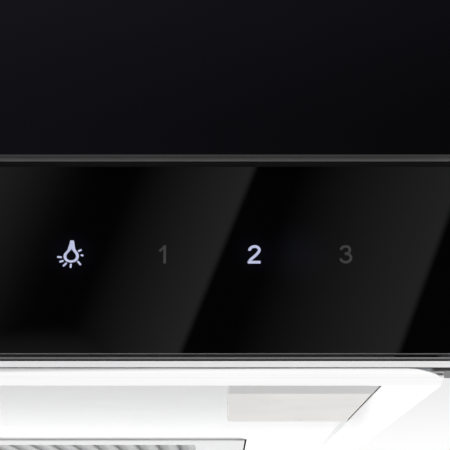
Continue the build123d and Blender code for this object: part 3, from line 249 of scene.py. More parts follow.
def buildZincSpangle(values):
    # crystal flakes of hot dipped sheet
    group, given = startEffect("zincSpangle", {"Vector": origin, "Scale": 130.0})
    warp = noise(given["Vector"], values["warpScale"])["Color"]
    shift = nodeOut(group, "ShaderNodeVectorMath", {0: warp, "Scale": values["warp"]},
                    operation="SCALE")
    place = nodeOut(group, "ShaderNodeVectorMath", {0: given["Vector"], 1: shift})
    cells = voronoi(place, given["Scale"])
    borders = voronoi(place, given["Scale"], feature="DISTANCE_TO_EDGE")
    flake = nodeOut(group, "ShaderNodeSeparateColor", {0: cells["Color"]})
    return closeEffect(group, Flake=flake, Border=remap(borders["Distance"], *values["border"]))


effects = {
    "brushedGrain": buildBrushedGrain(grainValues),
    "softEdge": buildSoftEdge(edgeValues),
    "dustFilm": buildDustFilm(filmValues),
    "smudges": buildSmudges(wipeValues),
    "fineGrain": buildFineGrain(),
    "zincSpangle": buildZincSpangle(spangleValues),
}
print("effect groups built:", ", ".join(effects))


# finishes: a start for each material, then the kinds of surface

def blankMaterial(name):
    material = bpy.data.materials.new(name)
    material.use_nodes = True
    material.node_tree.nodes.clear()
    return material, material.node_tree


def startFinish(name, colour, metallic=0.0):
    material, tree = blankMaterial(name)
    material.diffuse_color = (*colour, 1)
    surface = addNode(tree, "ShaderNodeBsdfPrincipled", {
        "Base Color": (*colour, 1), "Metallic": metallic})
    addNode(tree, "ShaderNodeOutputMaterial", {"Surface": surface.outputs[0]})
    return material, tree, surface, addNode(tree, "ShaderNodeTexCoord").outputs["Object"]


def effect(tree, name, place, **inputs):
    inputs["Vector"] = place
    return addNode(tree, "ShaderNodeGroup", inputs, node_tree=effects[name]).outputs


def edgeOn(tree, place, values):
    return effect(tree, "softEdge", place, Radius=values["edge"])


def dustOn(tree, place, values):
    return effect(tree, "dustFilm", place, Amount=values["dust"], Specks=values["specks"])["Mask"]


def feed(tree, surface, label, value):
    tree.links.new(value, surface.inputs[label])


def roughened(rough, mask, amount):
    return plus(rough, times(mask, amount))


def bumpOn(tree, surface, height, depth, strength, base=None):
    inputs = {"Height": height, "Distance": depth, "Strength": strength}
    if base is not None:
        inputs["Normal"] = base
    feed(tree, surface, "Normal", nodeOut(tree, "ShaderNodeBump", inputs))


def tinted(colour, factor, lift=0.0):
    return tuple(min(part * factor + lift, 1) for part in colour)


steelValues = {"metal": 1.0, "contrast": 0.55, "wave": 0.86, "smooth": 0.75, "dull": 1.3,
               "relief": 0.6, "smudgeScale": 4.0, "smudgeShare": 0.1, "smudgeRoughness": 0.12,
               "smudgeTone": (0.55, 0.55, 0.55), "lipBlur": 0.0003}


def brushedSteel(name, given):
    values = dict(steelValues, **given)
    colour, roughness = values["colour"], values["roughness"]
    material, tree, surface, place = startFinish(name, colour, values["metal"])
    grain = effect(tree, "brushedGrain", place, Stretch=values["stretch"],
                   Contrast=values["contrast"])
    marks = effect(tree, "smudges", place, Scale=values["smudgeScale"],
                   Amount=values["marks"])["Mask"]
    edge = edgeOn(tree, place, values)
    toned = mixColours(grain["Lines"], tinted(colour, values["dark"]), colour)
    wave = times(remap(grain["Tone"], *midNoise), values["drift"])
    toned = mixColours(wave, toned, tinted(colour, values["wave"]))
    toned = mixColours(times(marks, values["smudgeShare"]), toned, values["smudgeTone"])
    if "inner" in values:  # the steel behind the polished lip is darkened: painted shade, the lip staying brighter
        back, blur = values["lipBack"], values["lipBlur"]
        behind = remap(axes(place)["Y"], back - blur, back + blur)
        inner = mixColours(behind, (1.0, 1.0, 1.0), values["inner"])
        toned = mixColours(1.0, toned, inner, "MULTIPLY")
    feed(tree, surface, "Base Color", toned)
    rough = remap(grain["Lines"], 0, 1, roughness * values["smooth"],
                  roughness * values["dull"], smooth=False)
    feed(tree, surface, "Roughness", roughened(rough, marks, values["smudgeRoughness"]))
    bumpOn(tree, surface, grain["Lines"], values["depth"], values["relief"], edge["Normal"])
    return material


def zincSheet(name, values):
    colour = values["colour"]
    material, tree, surface, place = startFinish(name, colour, 1.0)
    spangle = effect(tree, "zincSpangle", place, Scale=values["scale"])
    dust = dustOn(tree, place, values)
    edge = edgeOn(tree, place, values)
    shade = mixColours(spangle["Flake"], tinted(colour, values["dark"]),
                       tinted(colour, values["light"]))
    shade = mixColours(times(spangle["Border"], values["borderShare"]), shade, values["border"])
    feed(tree, surface, "Base Color", mixColours(dust, shade, values["dustTone"]))
    rough = remap(spangle["Flake"], 0, 1, values["smooth"], values["dull"], smooth=False)
    feed(tree, surface, "Roughness", roughened(rough, dust, values["dustRoughness"]))
    feed(tree, surface, "Metallic", remap(dust, 0.0, 1.0, 1.0, values["dustMetal"]))
    bumpOn(tree, surface, spangle["Border"], values["depth"], values["relief"], edge["Normal"])
    return material


coatValues = {"edge": 0.0006, "drift": 5.0, "light": 1.25, "lift": 0.003, "tones": (0.35, 0.7),
              "wearShare": 0.5, "wearTone": (0.2, 0.2, 0.21), "smoother": 0.06, "duller": 0.08,
              "specks": 0.5, "dustTone": (0.32, 0.31, 0.29), "dustRoughness": 0.3, "relief": 0.5}


def powderCoat(name, given):
    values = dict(coatValues, **given)
    colour, roughness = values["colour"], values["roughness"]
    material, tree, surface, place = startFinish(name, colour)
    peel = effect(tree, "fineGrain", place, Scale=values["peel"], Drift=values["drift"])
    dust = dustOn(tree, place, values)
    edge = edgeOn(tree, place, values)
    shade = mixColours(remap(peel["Tone"], *values["tones"]), colour,
                       tinted(colour, values["light"], values["lift"]))
    worn = times(edge["Wear"], values["wearShare"])
    shade = mixColours(worn, shade, values["wearTone"])
    feed(tree, surface, "Base Color", mixColours(dust, shade, values["dustTone"]))
    rough = remap(peel["Tone"], *wideNoise, roughness - values["smoother"],
                  roughness + values["duller"])
    feed(tree, surface, "Roughness", roughened(rough, dust, values["dustRoughness"]))
    bumpOn(tree, surface, peel["Height"], values["depth"], values["relief"], edge["Normal"])
    return material


plasticValues = {"edge": 0.0005, "drift": 12.0, "light": 1.15, "lift": 0.012, "wearShare": 0.35,
                 "wearLight": 1.5, "wearLift": 0.05, "smoother": 0.07, "duller": 0.1, "specks": 0.3,
                 "dustTone": (0.42, 0.41, 0.38), "relief": 0.6, "capBlur": 0.001}


def mouldedPlastic(name, given):
    values = dict(plasticValues, **given)
    colour, roughness = values["colour"], values["roughness"]
    material, tree, surface, place = startFinish(name, colour)
    grain = effect(tree, "fineGrain", place, Scale=values["grain"], Drift=values["drift"])
    dust = dustOn(tree, place, values)
    edge = edgeOn(tree, place, values)
    shade = mixColours(remap(grain["Tone"], *midNoise), colour,
                       tinted(colour, values["light"], values["lift"]))
    worn = times(edge["Wear"], values["wearShare"])
    shade = mixColours(worn, shade, tinted(colour, values["wearLight"], values["wearLift"]))
    if "capFrom" in values:  # painted light: the corner caps are lightened to grey, standing in for light on their sloping faces, as far as their black outer ends
        across = calc("ABSOLUTE", axes(place)["X"])
        end, blur = values["capTo"], values["capBlur"]
        grey = times(calc("GREATER_THAN", across, values["capFrom"]),
                     remap(across, end + blur, end - blur))
        shade = mixColours(grey, shade, values["capPaintedLight"])
    feed(tree, surface, "Base Color", mixColours(dust, shade, values["dustTone"]))
    rough = remap(grain["Height"], *wideNoise, roughness - values["smoother"],
                  roughness + values["duller"])
    feed(tree, surface, "Roughness", rough)
    bumpOn(tree, surface, grain["Height"], values["depth"], values["relief"], edge["Normal"])
    return material


finishValues = {
    "tray_steel": (brushedSteel, dict(
        colour=(0.94, 0.94, 0.94), roughness=0.1, stretch=(15, 2500, 2500), dark=0.92, drift=0.2,
        depth=0.000006, edge=0.0003, marks=0.7, inner=(0.68, 0.68, 0.685), lipBack=-0.4618)),
    "chimney_steel": (brushedSteel, dict(
        colour=(0.66, 0.66, 0.665), roughness=0.28, stretch=(3000, 3000, 4), dark=0.91, drift=0.3,
        depth=0.000004, edge=0.0006, marks=0.8, metal=0.55)),
    "filter_aluminium": (brushedSteel, dict(
        colour=(0.74, 0.745, 0.75), roughness=0.22, stretch=(40, 1800, 1800), dark=0.86, drift=0.5,
        depth=0.000012, edge=0.0005, marks=0.6)),
    "mesh_aluminium": (brushedSteel, dict(
        colour=(0.74, 0.745, 0.75), roughness=0.32, stretch=(900, 900, 900), dark=0.75, drift=0.8,
        depth=0.00001, edge=0.0001, marks=0.4)),
    "bezel_metal": (brushedSteel, dict(
        colour=(0.56, 0.56, 0.555), roughness=0.34, stretch=(30, 2600, 2600), dark=0.85, drift=0.4,
        depth=0.000006, edge=0.0003, marks=0.3)),
    "spring_metal": (brushedSteel, dict(
        colour=(0.55, 0.54, 0.5), roughness=0.28, stretch=(60, 2500, 2500), dark=0.8, drift=0.6,
        depth=0.000006, edge=0.0002, marks=0.4)),
    "screw_steel": (brushedSteel, dict(
        colour=(0.6, 0.6, 0.59), roughness=0.27, stretch=(800, 800, 800), dark=0.8, drift=0.7,
        depth=0.000012, edge=0.0002, marks=0.5)),
    "galvanised_steel": (zincSheet, dict(
        colour=(0.56, 0.58, 0.6), scale=130.0, dark=0.78, light=1.12, border=(0.34, 0.36, 0.38),
        borderShare=0.25, smooth=0.26, dull=0.5, edge=0.0004, depth=0.00003, relief=0.5, dust=0.12,
        specks=0.3, dustTone=(0.5, 0.48, 0.44), dustRoughness=0.4, dustMetal=0.2)),
    "black_steel": (powderCoat, dict(
        colour=(0.015, 0.015, 0.016), roughness=0.42, peel=900.0, depth=0.00003, dust=0.06)),
    "motor_metal": (powderCoat, dict(
        colour=(0.12, 0.12, 0.125), roughness=0.38, peel=1400.0, depth=0.00002, dust=0.15)),
    "black_plastic": (mouldedPlastic, dict(
        colour=(0.02, 0.02, 0.021), roughness=0.4, grain=1600.0, depth=0.00003, dust=0.15,
        capFrom=0.43, capTo=0.4395, capPaintedLight=(0.36, 0.385, 0.41))),
    "gasket_rubber": (mouldedPlastic, dict(
        colour=(0.02, 0.02, 0.02), roughness=0.75, grain=900.0, depth=0.00006, dust=0.2)),
    "fan_plastic": (mouldedPlastic, dict(
        colour=(0.1, 0.1, 0.104), roughness=0.45, grain=1200.0, depth=0.00003, dust=0.3)),
    "white_plastic": (mouldedPlastic, dict(
        colour=(0.72, 0.72, 0.7), roughness=0.42, grain=1300.0, depth=0.00003, dust=0.15)),
    "flap_plastic": (mouldedPlastic, dict(
        colour=(0.3, 0.3, 0.31), roughness=0.5, grain=1200.0, depth=0.00003, dust=0.2)),
    "latch_plastic": (mouldedPlastic, dict(
        colour=(0.08, 0.08, 0.083), roughness=0.4, grain=1500.0, depth=0.00003, dust=0.05)),
    "icon_dim": (mouldedPlastic, dict(
        colour=(0.02, 0.02, 0.0205), roughness=0.55, grain=2400.0, depth=0.00001, dust=0.0)),
}
finishes = {name: make(name, values) for name, (make, values) in finishValues.items()}


# the heights are metres above the tray's underside
carrierValues = {"fin": (0.34, 0.34, 0.345), "groove": (0.045, 0.044, 0.044),
                 "behind": (0.15, 0.15, 0.15), "band": (0.86, 0.855, 0.86),
                 "finTop": 0.00768, "finLow": 0.00712, "bandTop": 0.00652, "blur": 0.00004,
                 "roughness": 0.2, "smooth": 0.8, "dull": 1.3, "satin": 0.75, "contrast": 0.6,
                 "stretch": (12, 5000, 5000), "dark": 0.84, "depth": 0.000004, "relief": 0.5}


def carrierSteel(name, values):
    # bright band, painted shade in the groove, then the fin; the leg behind the glass is blackened
    # too
    material, tree, surface, place = startFinish(name, values["band"], 1.0)
    height = axes(place)["Z"]
    lines = effect(tree, "brushedGrain", place, Stretch=values["stretch"],
                   Contrast=values["contrast"])["Lines"]
    aboveBand, onFin, aboveFin = (
        remap(height, values[level] - values["blur"], values[level] + values["blur"])
        for level in ("bandTop", "finLow", "finTop"))
    # painted shade: the groove between band and fin is darkened where it lies in shadow
    shade = mixColours(aboveBand, values["band"], values["groove"])
    shade = mixColours(onFin, shade, values["fin"])
    shade = mixColours(aboveFin, shade, values["behind"])
    # satin on the band, so it stays pale where it faces something dark
    onBand = minus(1.0, aboveBand)
    metal = minus(1.0, times(onBand, values["satin"]))
    feed(tree, surface, "Metallic", times(metal, minus(1.0, aboveFin)))
    tone = remap(lines, 0, 1, values["dark"], 1.0, smooth=False)
    grey = nodeOut(tree, "ShaderNodeCombineColor", {0: tone, 1: tone, 2: tone})
    feed(tree, surface, "Base Color", mixColours(1.0, shade, grey, "MULTIPLY"))
    rough = remap(lines, 0, 1, values["roughness"] * values["smooth"],
                  values["roughness"] * values["dull"], smooth=False)
    feed(tree, surface, "Roughness", rough)
    bumpOn(tree, surface, lines, values["depth"], values["relief"])
    return material


# edgeFront and edgeBack are where the tone of the ground edge starts and ends, along Y; the frost is
# the glass's own, the change of tone between them is painted light: painted shade at the pane's
# front arris, a painted highlight at the strip's front arris
glassValues = {"colour": (0.0008, 0.0008, 0.001), "roughness": 0.012, "smear": 0.06,
               "smearScale": 3.0, "frostLitFront": (0.012, 0.012, 0.012),
               "frostLitBack": (0.2, 0.2, 0.202), "edgeFront": -0.476, "edgeBack": -0.4705,
               "groundRoughness": 0.55, "groundFacing": (0.75, 0.95), "grit": 2600.0,
               "gritShare": 0.2, "gritTone": (0.02, 0.02, 0.02), "depth": 0.00005, "relief": 0.6,
               "dust": 0.02, "specks": 0.5, "dustTone": (0.3, 0.3, 0.29), "dustRoughness": 0.4,
               "glow": ()}
# each glow is an X, a Z, a reach and a strength, round the lit icons
stripValues = dict(glassValues, frostLitFront=(0.5, 0.49, 0.5), frostLitBack=(0.34, 0.34, 0.35),
                   edgeFront=-0.470, edgeBack=-0.4665, glowTone=(0.5, 0.55, 1.0), glow=(
                       (0.3294, 0.0395, 0.009, 0.004), (0.3858, 0.0395, 0.008, 0.003),
                       (0.400, 0.0395, 0.012, 0.003)))


def blackGlass(name, values):
    material, tree, surface, place = startFinish(name, values["colour"])
    smear = effect(tree, "smudges", place, Scale=values["smearScale"])["Mask"]
    dust = dustOn(tree, place, values)
    grit = effect(tree, "fineGrain", place, Scale=values["grit"])["Height"]
    # faces turned down or to the sides are ground
    facing = axes(addNode(tree, "ShaderNodeTexCoord").outputs["Normal"])
    start, full = values["groundFacing"]
    below = remap(facing["Z"], -start, -full)
    beside = remap(calc("ABSOLUTE", facing["X"]), start, full)
    ground = calc("MAXIMUM", below, beside, clamp=True)
    inward = remap(axes(place)["Y"], values["edgeFront"], values["edgeBack"], smooth=False)
    # painted light: the ground edge's tone runs from front to back over the glass's own frost
    frostAndLight = mixColours(inward, values["frostLitFront"], values["frostLitBack"])
    gritty = remap(grit, *wideNoise, 0.0, values["gritShare"])
    frostAndLight = mixColours(gritty, frostAndLight, values["gritTone"])
    shade = mixColours(dust, values["colour"], values["dustTone"])
    feed(tree, surface, "Base Color", mixColours(ground, shade, frostAndLight))
    rough = remap(smear, 0, 1, values["roughness"], values["roughness"] + values["smear"])
    rough = roughened(rough, dust, values["dustRoughness"])
    feed(tree, surface, "Roughness", roughened(rough, ground, values["groundRoughness"]))
    bumpOn(tree, surface, times(grit, ground), values["depth"], values["relief"])
    total = 0.0
    for x, z, reach, strength in values["glow"]:
        near = distance(place, (x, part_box("control_glass")[0].y, z))
        total = plus(total, times(remap(near, reach, 0.0), strength))
    if values["glow"]:
        glow = mixColours(total, (0, 0, 0), values["glowTone"])
        feed(tree, surface, "Emission Color", glow)
        surface.inputs["Emission Strength"].default_value = 1.0
    return material


litValues = {"body": (0.03, 0.03, 0.035), "roughness": 0.4, "colour": (0.475, 0.505, 0.72),
             "deep": (0.43, 0.46, 0.66), "strength": 1.0, "cloud": 700.0}


def litIcon(name, values):
    material, tree, surface, place = startFinish(name, values["body"])
    surface.inputs["Roughness"].default_value = values["roughness"]
    surface.inputs["Emission Strength"].default_value = values["strength"]
    spread = remap(noise(place, values["cloud"])["Fac"], *wideNoise)
    glow = mixColours(spread, values["deep"], values["colour"])
    feed(tree, surface, "Emission Color", glow)
    return material


lensValues = {"colour": (0.85, 0.83, 0.785), "grain": 500.0, "drift": 30.0, "fineDark": 0.985,
              "cloud": 22.0, "clouded": (0.42, 0.62), "cloudShade": 0.9, "smooth": 0.3, "dull": 0.36,
              "prisms": 420.0, "depth": 0.000008, "relief": 0.25}


def opalLens(name, values):
    colour = values["colour"]
    material, tree, surface, place = startFinish(name, colour)
    grain = effect(tree, "fineGrain", place, Scale=values["grain"], Drift=values["drift"])
    prisms = voronoi(place, values["prisms"], feature="SMOOTH_F1")["Distance"]
    # soft darker cloud patches are painted shade, standing in for the LEDs inside the lamp
    cloud = remap(noise(place, values["cloud"], 1.0)["Fac"], *values["clouded"])
    fine = mixColours(remap(grain["Tone"], *midNoise), colour, tinted(colour, values["fineDark"]))
    shade = mixColours(cloud, fine, tinted(colour, values["cloudShade"]))
    feed(tree, surface, "Base Color", shade)
    rough = remap(grain["Height"], *wideNoise, values["smooth"], values["dull"])
    feed(tree, surface, "Roughness", rough)
    bumpOn(tree, surface, prisms, values["depth"], values["relief"])
    return material


boardValues = {"mask": (0.03, 0.2, 0.09), "run": (0.05, 0.3, 0.14), "tin": (0.6, 0.6, 0.58),
               "runs": 260.0, "runEdge": (0.09, 0.05), "pads": 330.0, "padEdge": (0.2, 0.16),
               "weave": 5200.0, "weaveLight": 1.25, "dull": 0.38, "tinned": 0.22, "depth": 0.00005,
               "relief": 0.7}


def circuitBoard(name, values):
    material, tree, surface, place = startFinish(name, values["mask"])
    split = axes(place)
    cells = voronoi(place, values["runs"], distance="CHEBYCHEV", feature="DISTANCE_TO_EDGE")
    runs = remap(cells["Distance"], *values["runEdge"])
    dots = remap(voronoi(place, values["pads"])["Distance"], *values["padEdge"])
    weave = times(*(calc("SINE", times(split[axis], values["weave"])) for axis in "XZ"))
    shade = mixColours(remap(weave, -1, 1, smooth=False), values["mask"],
                       tinted(values["mask"], values["weaveLight"]))
    shade = mixColours(runs, shade, values["run"])
    feed(tree, surface, "Base Color", mixColours(dots, shade, values["tin"]))
    feed(tree, surface, "Metallic", dots)
    feed(tree, surface, "Roughness", remap(dots, 0, 1, values["dull"], values["tinned"]))
    bumpOn(tree, surface, calc("MAXIMUM", runs, dots), values["depth"], values["relief"])
    return material


finishes["trim_steel"] = carrierSteel("trim_steel", carrierValues)
finishes["black_glass"] = blackGlass("black_glass", glassValues)
finishes["strip_glass"] = blackGlass("strip_glass", stripValues)
finishes["icon_lit"] = litIcon("icon_lit", litValues)
finishes["lens_plastic"] = opalLens("lens_plastic", lensValues)
finishes["board"] = circuitBoard("board", boardValues)

slotOf = {part["node"]: part["material_slot"] for part in frame["record"]["subparts"]}
for name, node in nodeObjects.items():
    for slot in node.material_slots:
        slot.material = finishes[slotOf[name]]
print("finishes set:", len(finishes))


# pieces made with geometry nodes

def startTree(name, values):
    tree = bpy.data.node_groups.new(name, "GeometryNodeTree")
    for way in ("OUTPUT", "INPUT"):
        tree.interface.new_socket("Geometry", in_out=way, socket_type="NodeSocketGeometry")
    addInputs(tree, values)
    tree.interface.new_socket("Finish", in_out="INPUT", socket_type="NodeSocketMaterial")
    return tree, addNode(tree, "NodeGroupInput").outputs


def closeTree(tree, given, geometry):
    real = nodeOut(tree, "GeometryNodeRealizeInstances", {0: geometry})
    coated = nodeOut(tree, "GeometryNodeSetMaterial", {0: real, "Material": given["Finish"]})
    addNode(tree, "NodeGroupOutput", {0: coated})
    return tree


def joined(tree, *parts):
    node = addNode(tree, "GeometryNodeJoinGeometry")
    for part in parts:
        tree.links.new(part, node.inputs[0])
    return node.outputs[0]


def moved(tree, geometry, **change):
    return nodeOut(tree, "GeometryNodeTransform", {0: geometry, **change})


def oblong(tree, width, height):
    return nodeOut(tree, "GeometryNodeCurvePrimitiveQuadrilateral",
                   {"Width": width, "Height": height})


def swept(tree, curve, section, caps=True):
    return nodeOut(tree, "GeometryNodeCurveToMesh", {"Curve": curve, "Profile Curve": section,
                                                     "Fill Caps": caps})


def copies(tree, points, piece, turn):
    return nodeOut(tree, "GeometryNodeInstanceOnPoints", {"Points": points, "Instance": piece,
                                                          "Rotation": turn})


def indexTimes(tree, step):
    return times(nodeOut(tree, "GeometryNodeInputIndex"), step)


def ringPiece(tree, middle, width, length, segments):
    # a flat ring round Z, from a rectangle swept round a circle
    circle = nodeOut(tree, "GeometryNodeCurvePrimitiveCircle",
                     {"Resolution": segments, "Radius": middle})
    return swept(tree, circle, oblong(tree, width, length))


def ringBetween(tree, inner, outer, length, segments):
    middle = times(plus(outer, inner), 0.5)
    return ringPiece(tree, middle, minus(outer, inner), length, segments)


def copiesRound(tree, piece, count, radius):
    spots = nodeOut(tree, "GeometryNodeMeshCircle", {"Vertices": count, "Radius": radius})
    turn = indexTimes(tree, over(2 * math.pi, count))
    return copies(tree, spots, piece, vector(tree, z=turn))


def runTree(name, tree, values, finish, places=()):
    # places are points, each with the direction that its piece faces
    mesh = bpy.data.meshes.new(name + "Points")
    mesh.from_pydata([point for point, direction in places], [], [])
    if places:
        layer = mesh.attributes.new("facing", "FLOAT_VECTOR", "POINT")
        for index, (point, direction) in enumerate(places):
            layer.data[index].vector = direction
    source = addObject(name + "Source", mesh)
    modifier = source.modifiers.new("shape", "NODES")
    modifier.node_group = tree
    chosen = dict(values, Finish=finish)
    for item in tree.interface.items_tree:
        if item.item_type == "SOCKET" and item.in_out == "INPUT" and item.name in chosen:
            modifier[item.identifier] = chosen[item.name]
    ready = source.evaluated_get(bpy.context.evaluated_depsgraph_get())
    made = bpy.data.meshes.new_from_object(ready)
    made.name = name
    source.modifiers.remove(modifier)
    bpy.data.objects.remove(source)
    return addObject(name, made)


def smoothBy(piece, degrees):
    piece.data.shade_smooth()
    piece.data.set_sharp_from_angle(angle=math.radians(degrees))


# curved pane: a skirt, then one even bend, with ground edges
paneLow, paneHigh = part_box("curved_glass")
paneValues = {"Half Width": paneHigh.x, "Front": paneLow.y, "Bottom": paneLow.z, "Skirt": 0.010,
              "Radius": 0.300, "Thickness": 0.006, "Sweep": math.radians(68), "Steps": 120,
              "Columns": 25}
paneEdge = {"width": 0.0006, "segments": 3, "angle_limit": math.radians(50)}
paneSmooth = 40


def buildPaneTree():
    tree, given = startTree("curvedPane", paneValues)
    slab = nodeOut(tree, "GeometryNodeMeshCube", {
        "Size": (1, 1, 1), "Vertices X": given["Columns"], "Vertices Y": 2,
        "Vertices Z": given["Steps"]})
    place = axes(nodeOut(tree, "GeometryNodeInputPosition"))
    across = times(times(place["X"], 2.0), given["Half Width"])
    inward = times(plus(place["Y"], 0.5), given["Thickness"])
    length = plus(given["Skirt"], times(given["Radius"], given["Sweep"]))
    along = times(plus(place["Z"], 0.5), length)
    past = calc("MAXIMUM", minus(along, given["Skirt"]), 0.0)
    turn = over(past, given["Radius"])
    reach = minus(given["Radius"], inward)
    y = minus(plus(given["Front"], given["Radius"]), times(reach, calc("COSINE", turn)))
    z = plus(plus(given["Bottom"], calc("MINIMUM", along, given["Skirt"])),
             times(reach, calc("SINE", turn)))
    bent = nodeOut(tree, "GeometryNodeSetPosition", {
        0: slab, "Position": vector(tree, across, y, z)})
    return closeTree(tree, given, bent)


pane = runTree("curvedPane", buildPaneTree(), paneValues, finishes["black_glass"])
rounding = pane.modifiers.new("groundEdge", "BEVEL")
for setting, value in paneEdge.items():
    setattr(rounding, setting, value)
smoothBy(pane, paneSmooth)
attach(pane, "root")
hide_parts("curved_glass")
print("curved pane made")


# expanded aluminium mesh in the filters, layers of small diamonds; each filter sets the last four
meshValues = {"Cell Length": 0.0105, "Cell Width": 0.0058, "Strand": 0.0009, "Sheet": 0.00035,
              "Tilt": 0.45, "Layers": 3,
              "Width": 0.3, "Depth": 0.2, "Rise": 0.007, "Centre": origin}
meshRoom = {"side": 0.0008, "face": 0.00065}  # kept free inside the CAD's box


def buildMeshTree():
    tree, given = startTree("expandedMesh", meshValues)
    columns = calc("ROUND", over(given["Width"], given["Cell Length"]))
    rows = calc("ROUND", over(given["Depth"], given["Cell Width"]))
    cellLength = over(given["Width"], columns)
    cellWidth = over(given["Depth"], rows)
    grid = nodeOut(tree, "GeometryNodeMeshGrid", {
        "Size X": minus(given["Width"], cellLength),
        "Size Y": minus(given["Depth"], cellWidth), "Vertices X": columns, "Vertices Y": rows})
    halfCell = times(cellWidth, 0.5)
    diamond = nodeOut(tree, "GeometryNodeCurvePrimitiveQuadrilateral", {
        "Width": minus(cellLength, given["Sheet"]), "Bottom Height": halfCell,
        "Top Height": halfCell}, mode="KITE")
    leaning = nodeOut(tree, "GeometryNodeSetCurveTilt", {0: diamond, "Tilt": given["Tilt"]})
    cell = swept(tree, leaning, oblong(tree, given["Strand"], given["Sheet"]), caps=False)
    layer = copies(tree, grid, cell, origin)
    step = over(given["Rise"], minus(given["Layers"], 1.0))
    stack = nodeOut(tree, "GeometryNodeMeshLine", {
        "Count": given["Layers"], "Start Location": given["Centre"], "Offset": vector(tree, z=step)})
    whole = copies(tree, stack, layer, vector(tree, z=indexTimes(tree, math.pi)))
    return closeTree(tree, given, whole)


meshTree = buildMeshTree()
for side in ("left", "right"):
    low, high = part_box("filter_mesh_" + side)
    size = high - low
    middle = (low + high) / 2
    filterMesh = runTree("filterMesh." + side, meshTree, dict(
        meshValues, Width=size.x - meshRoom["side"], Depth=size.y - meshRoom["side"],
        Rise=size.z - 2 * meshRoom["face"], Centre=(middle.x, middle.y, low.z + meshRoom["face"])),
        finishes["mesh_aluminium"])
    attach(filterMesh, "filter_" + side)
    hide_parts("filter_mesh_" + side)
    print("filter mesh", side, len(filterMesh.data.polygons), "faces")


# pan head screws with a cross recess; Dome lowers the rim of the head, as a share of its height
screwValues = {"Head Radius": 0.0038, "Head Height": 0.002, "Dome": -0.62, "Dome Power": 3.0,
               "Shank Radius": 0.0019, "Shank Length": 0.008, "Cross Length": 0.0044,
               "Cross Width": 0.0009, "Cross Depth": 0.0012, "Spin": 3.0, "Seed": 7}
screwSmooth = 35

# where the CAD has its screws: a point, and the way that the head faces
deckScrews = [((side * x, y, 0.346), (0, 0, 1)) for side in (-1, 1) for x, y in (
    (0.429, -0.266), (0.429, -0.014), (0.280, -0.266), (0.280, -0.014), (0.072, -0.0708),
    (0.072, -0.1992))]
footScrews = [((side * 0.150, y, 0.3543), (side, 0, 0))
              for side in (-1, 1) for y in (-0.060, -0.210)]
bracketScrews = [((side * 0.148, -0.040, 0.848), (side, 0, 0)) for side in (-1, 1)]


def buildScrewTree():
    tree, given = startTree("panScrews", screwValues)
    head = nodeOut(tree, "GeometryNodeMeshCylinder", {
        "Vertices": 24, "Side Segments": 1, "Fill Segments": 4, "Radius": given["Head Radius"],
        "Depth": given["Head Height"]})
    place = axes(nodeOut(tree, "GeometryNodeInputPosition"))
    squares = plus(times(place["X"], place["X"]), times(place["Y"], place["Y"]))
    out = over(calc("SQRT", squares), given["Head Radius"])
    drop = times(calc("POWER", out, given["Dome Power"]),
                 times(given["Head Height"], given["Dome"]))
    isTop = calc("GREATER_THAN", place["Z"], 0.0)
    lift = plus(times(given["Head Height"], 0.5), times(drop, isTop))
    domed = nodeOut(tree, "GeometryNodeSetPosition", {0: head, "Offset": vector(tree, z=lift)})
    cut = addNode(tree, "GeometryNodeMeshBoolean", {"Mesh 1": domed}, operation="DIFFERENCE",
                  solver="EXACT")
    depth = times(given["Cross Depth"], 2.0)
    for length, width in (("Cross Length", "Cross Width"), ("Cross Width", "Cross Length")):
        bar = nodeOut(tree, "GeometryNodeMeshCube",
                      {"Size": vector(tree, given[length], given[width], depth)})
        raised = moved(tree, bar, Translation=vector(tree, z=given["Head Height"]))
        tree.links.new(raised, cut.inputs["Mesh 2"])
    shank = nodeOut(tree, "GeometryNodeMeshCylinder", {
        "Vertices": 12, "Radius": given["Shank Radius"], "Depth": given["Shank Length"]})
    down = times(given["Shank Length"], -0.5)
    screw = joined(tree, cut.outputs[0], moved(tree, shank, Translation=vector(tree, z=down)))
    facing = nodeOut(tree, "GeometryNodeInputNamedAttribute", {"Name": "facing"},
                     data_type="FLOAT_VECTOR")
    aligned = nodeOut(tree, "FunctionNodeAlignRotationToVector", {"Vector": facing}, axis="Z")
    chance = nodeOut(tree, "FunctionNodeRandomValue", {
        "Min": vector(tree), "Max": vector(tree, z=given["Spin"]), "Seed": given["Seed"]},
        data_type="FLOAT_VECTOR")
    spin = nodeOut(tree, "FunctionNodeRotateRotation", {0: aligned, 1: chance},
                   rotation_space="LOCAL")
    return closeTree(tree, given, copies(tree, given["Geometry"], screw, spin))


screwTree = buildScrewTree()
for name, nodeName, body, places in (
        ("casingScrews", "casing_screws", "root", deckScrews + footScrews),
        ("chimneyBracketScrews", "chimney_bracket_screws", "chimney_extension", bracketScrews)):
    screws = runTree(name, screwTree, screwValues, finishes["screw_steel"], places)
    smoothBy(screws, screwSmooth)
    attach(screws, body)
    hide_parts(nodeName)
    print(screws.name, "made,", len(places), "screws")


# fan wheel: curved blades between two rings, on a disc with a hub and ribs
wheelValues = {"Centre": (0.0, -0.191, 0.150), "Blades": 30, "Radius": 0.072, "Half Length": 0.057,
               "Blade Depth": 0.0095, "Blade Sweep": 1.25, "Blade Shift": -0.88, "Blade Lean": 1.0,
               "Thickness": 0.001, "Ring Width": 0.010, "Ring Sheet": 0.002, "Disc Sheet": 0.002,
               "Hub Radius": 0.014, "Hub Length": 0.030, "Bore": 0.005, "Ribs": 6,
               "Rib Thickness": 0.0016, "Rib Share": 0.4, "Ring Segments": 72, "Hub Segments": 36}
wheelSmooth = 35


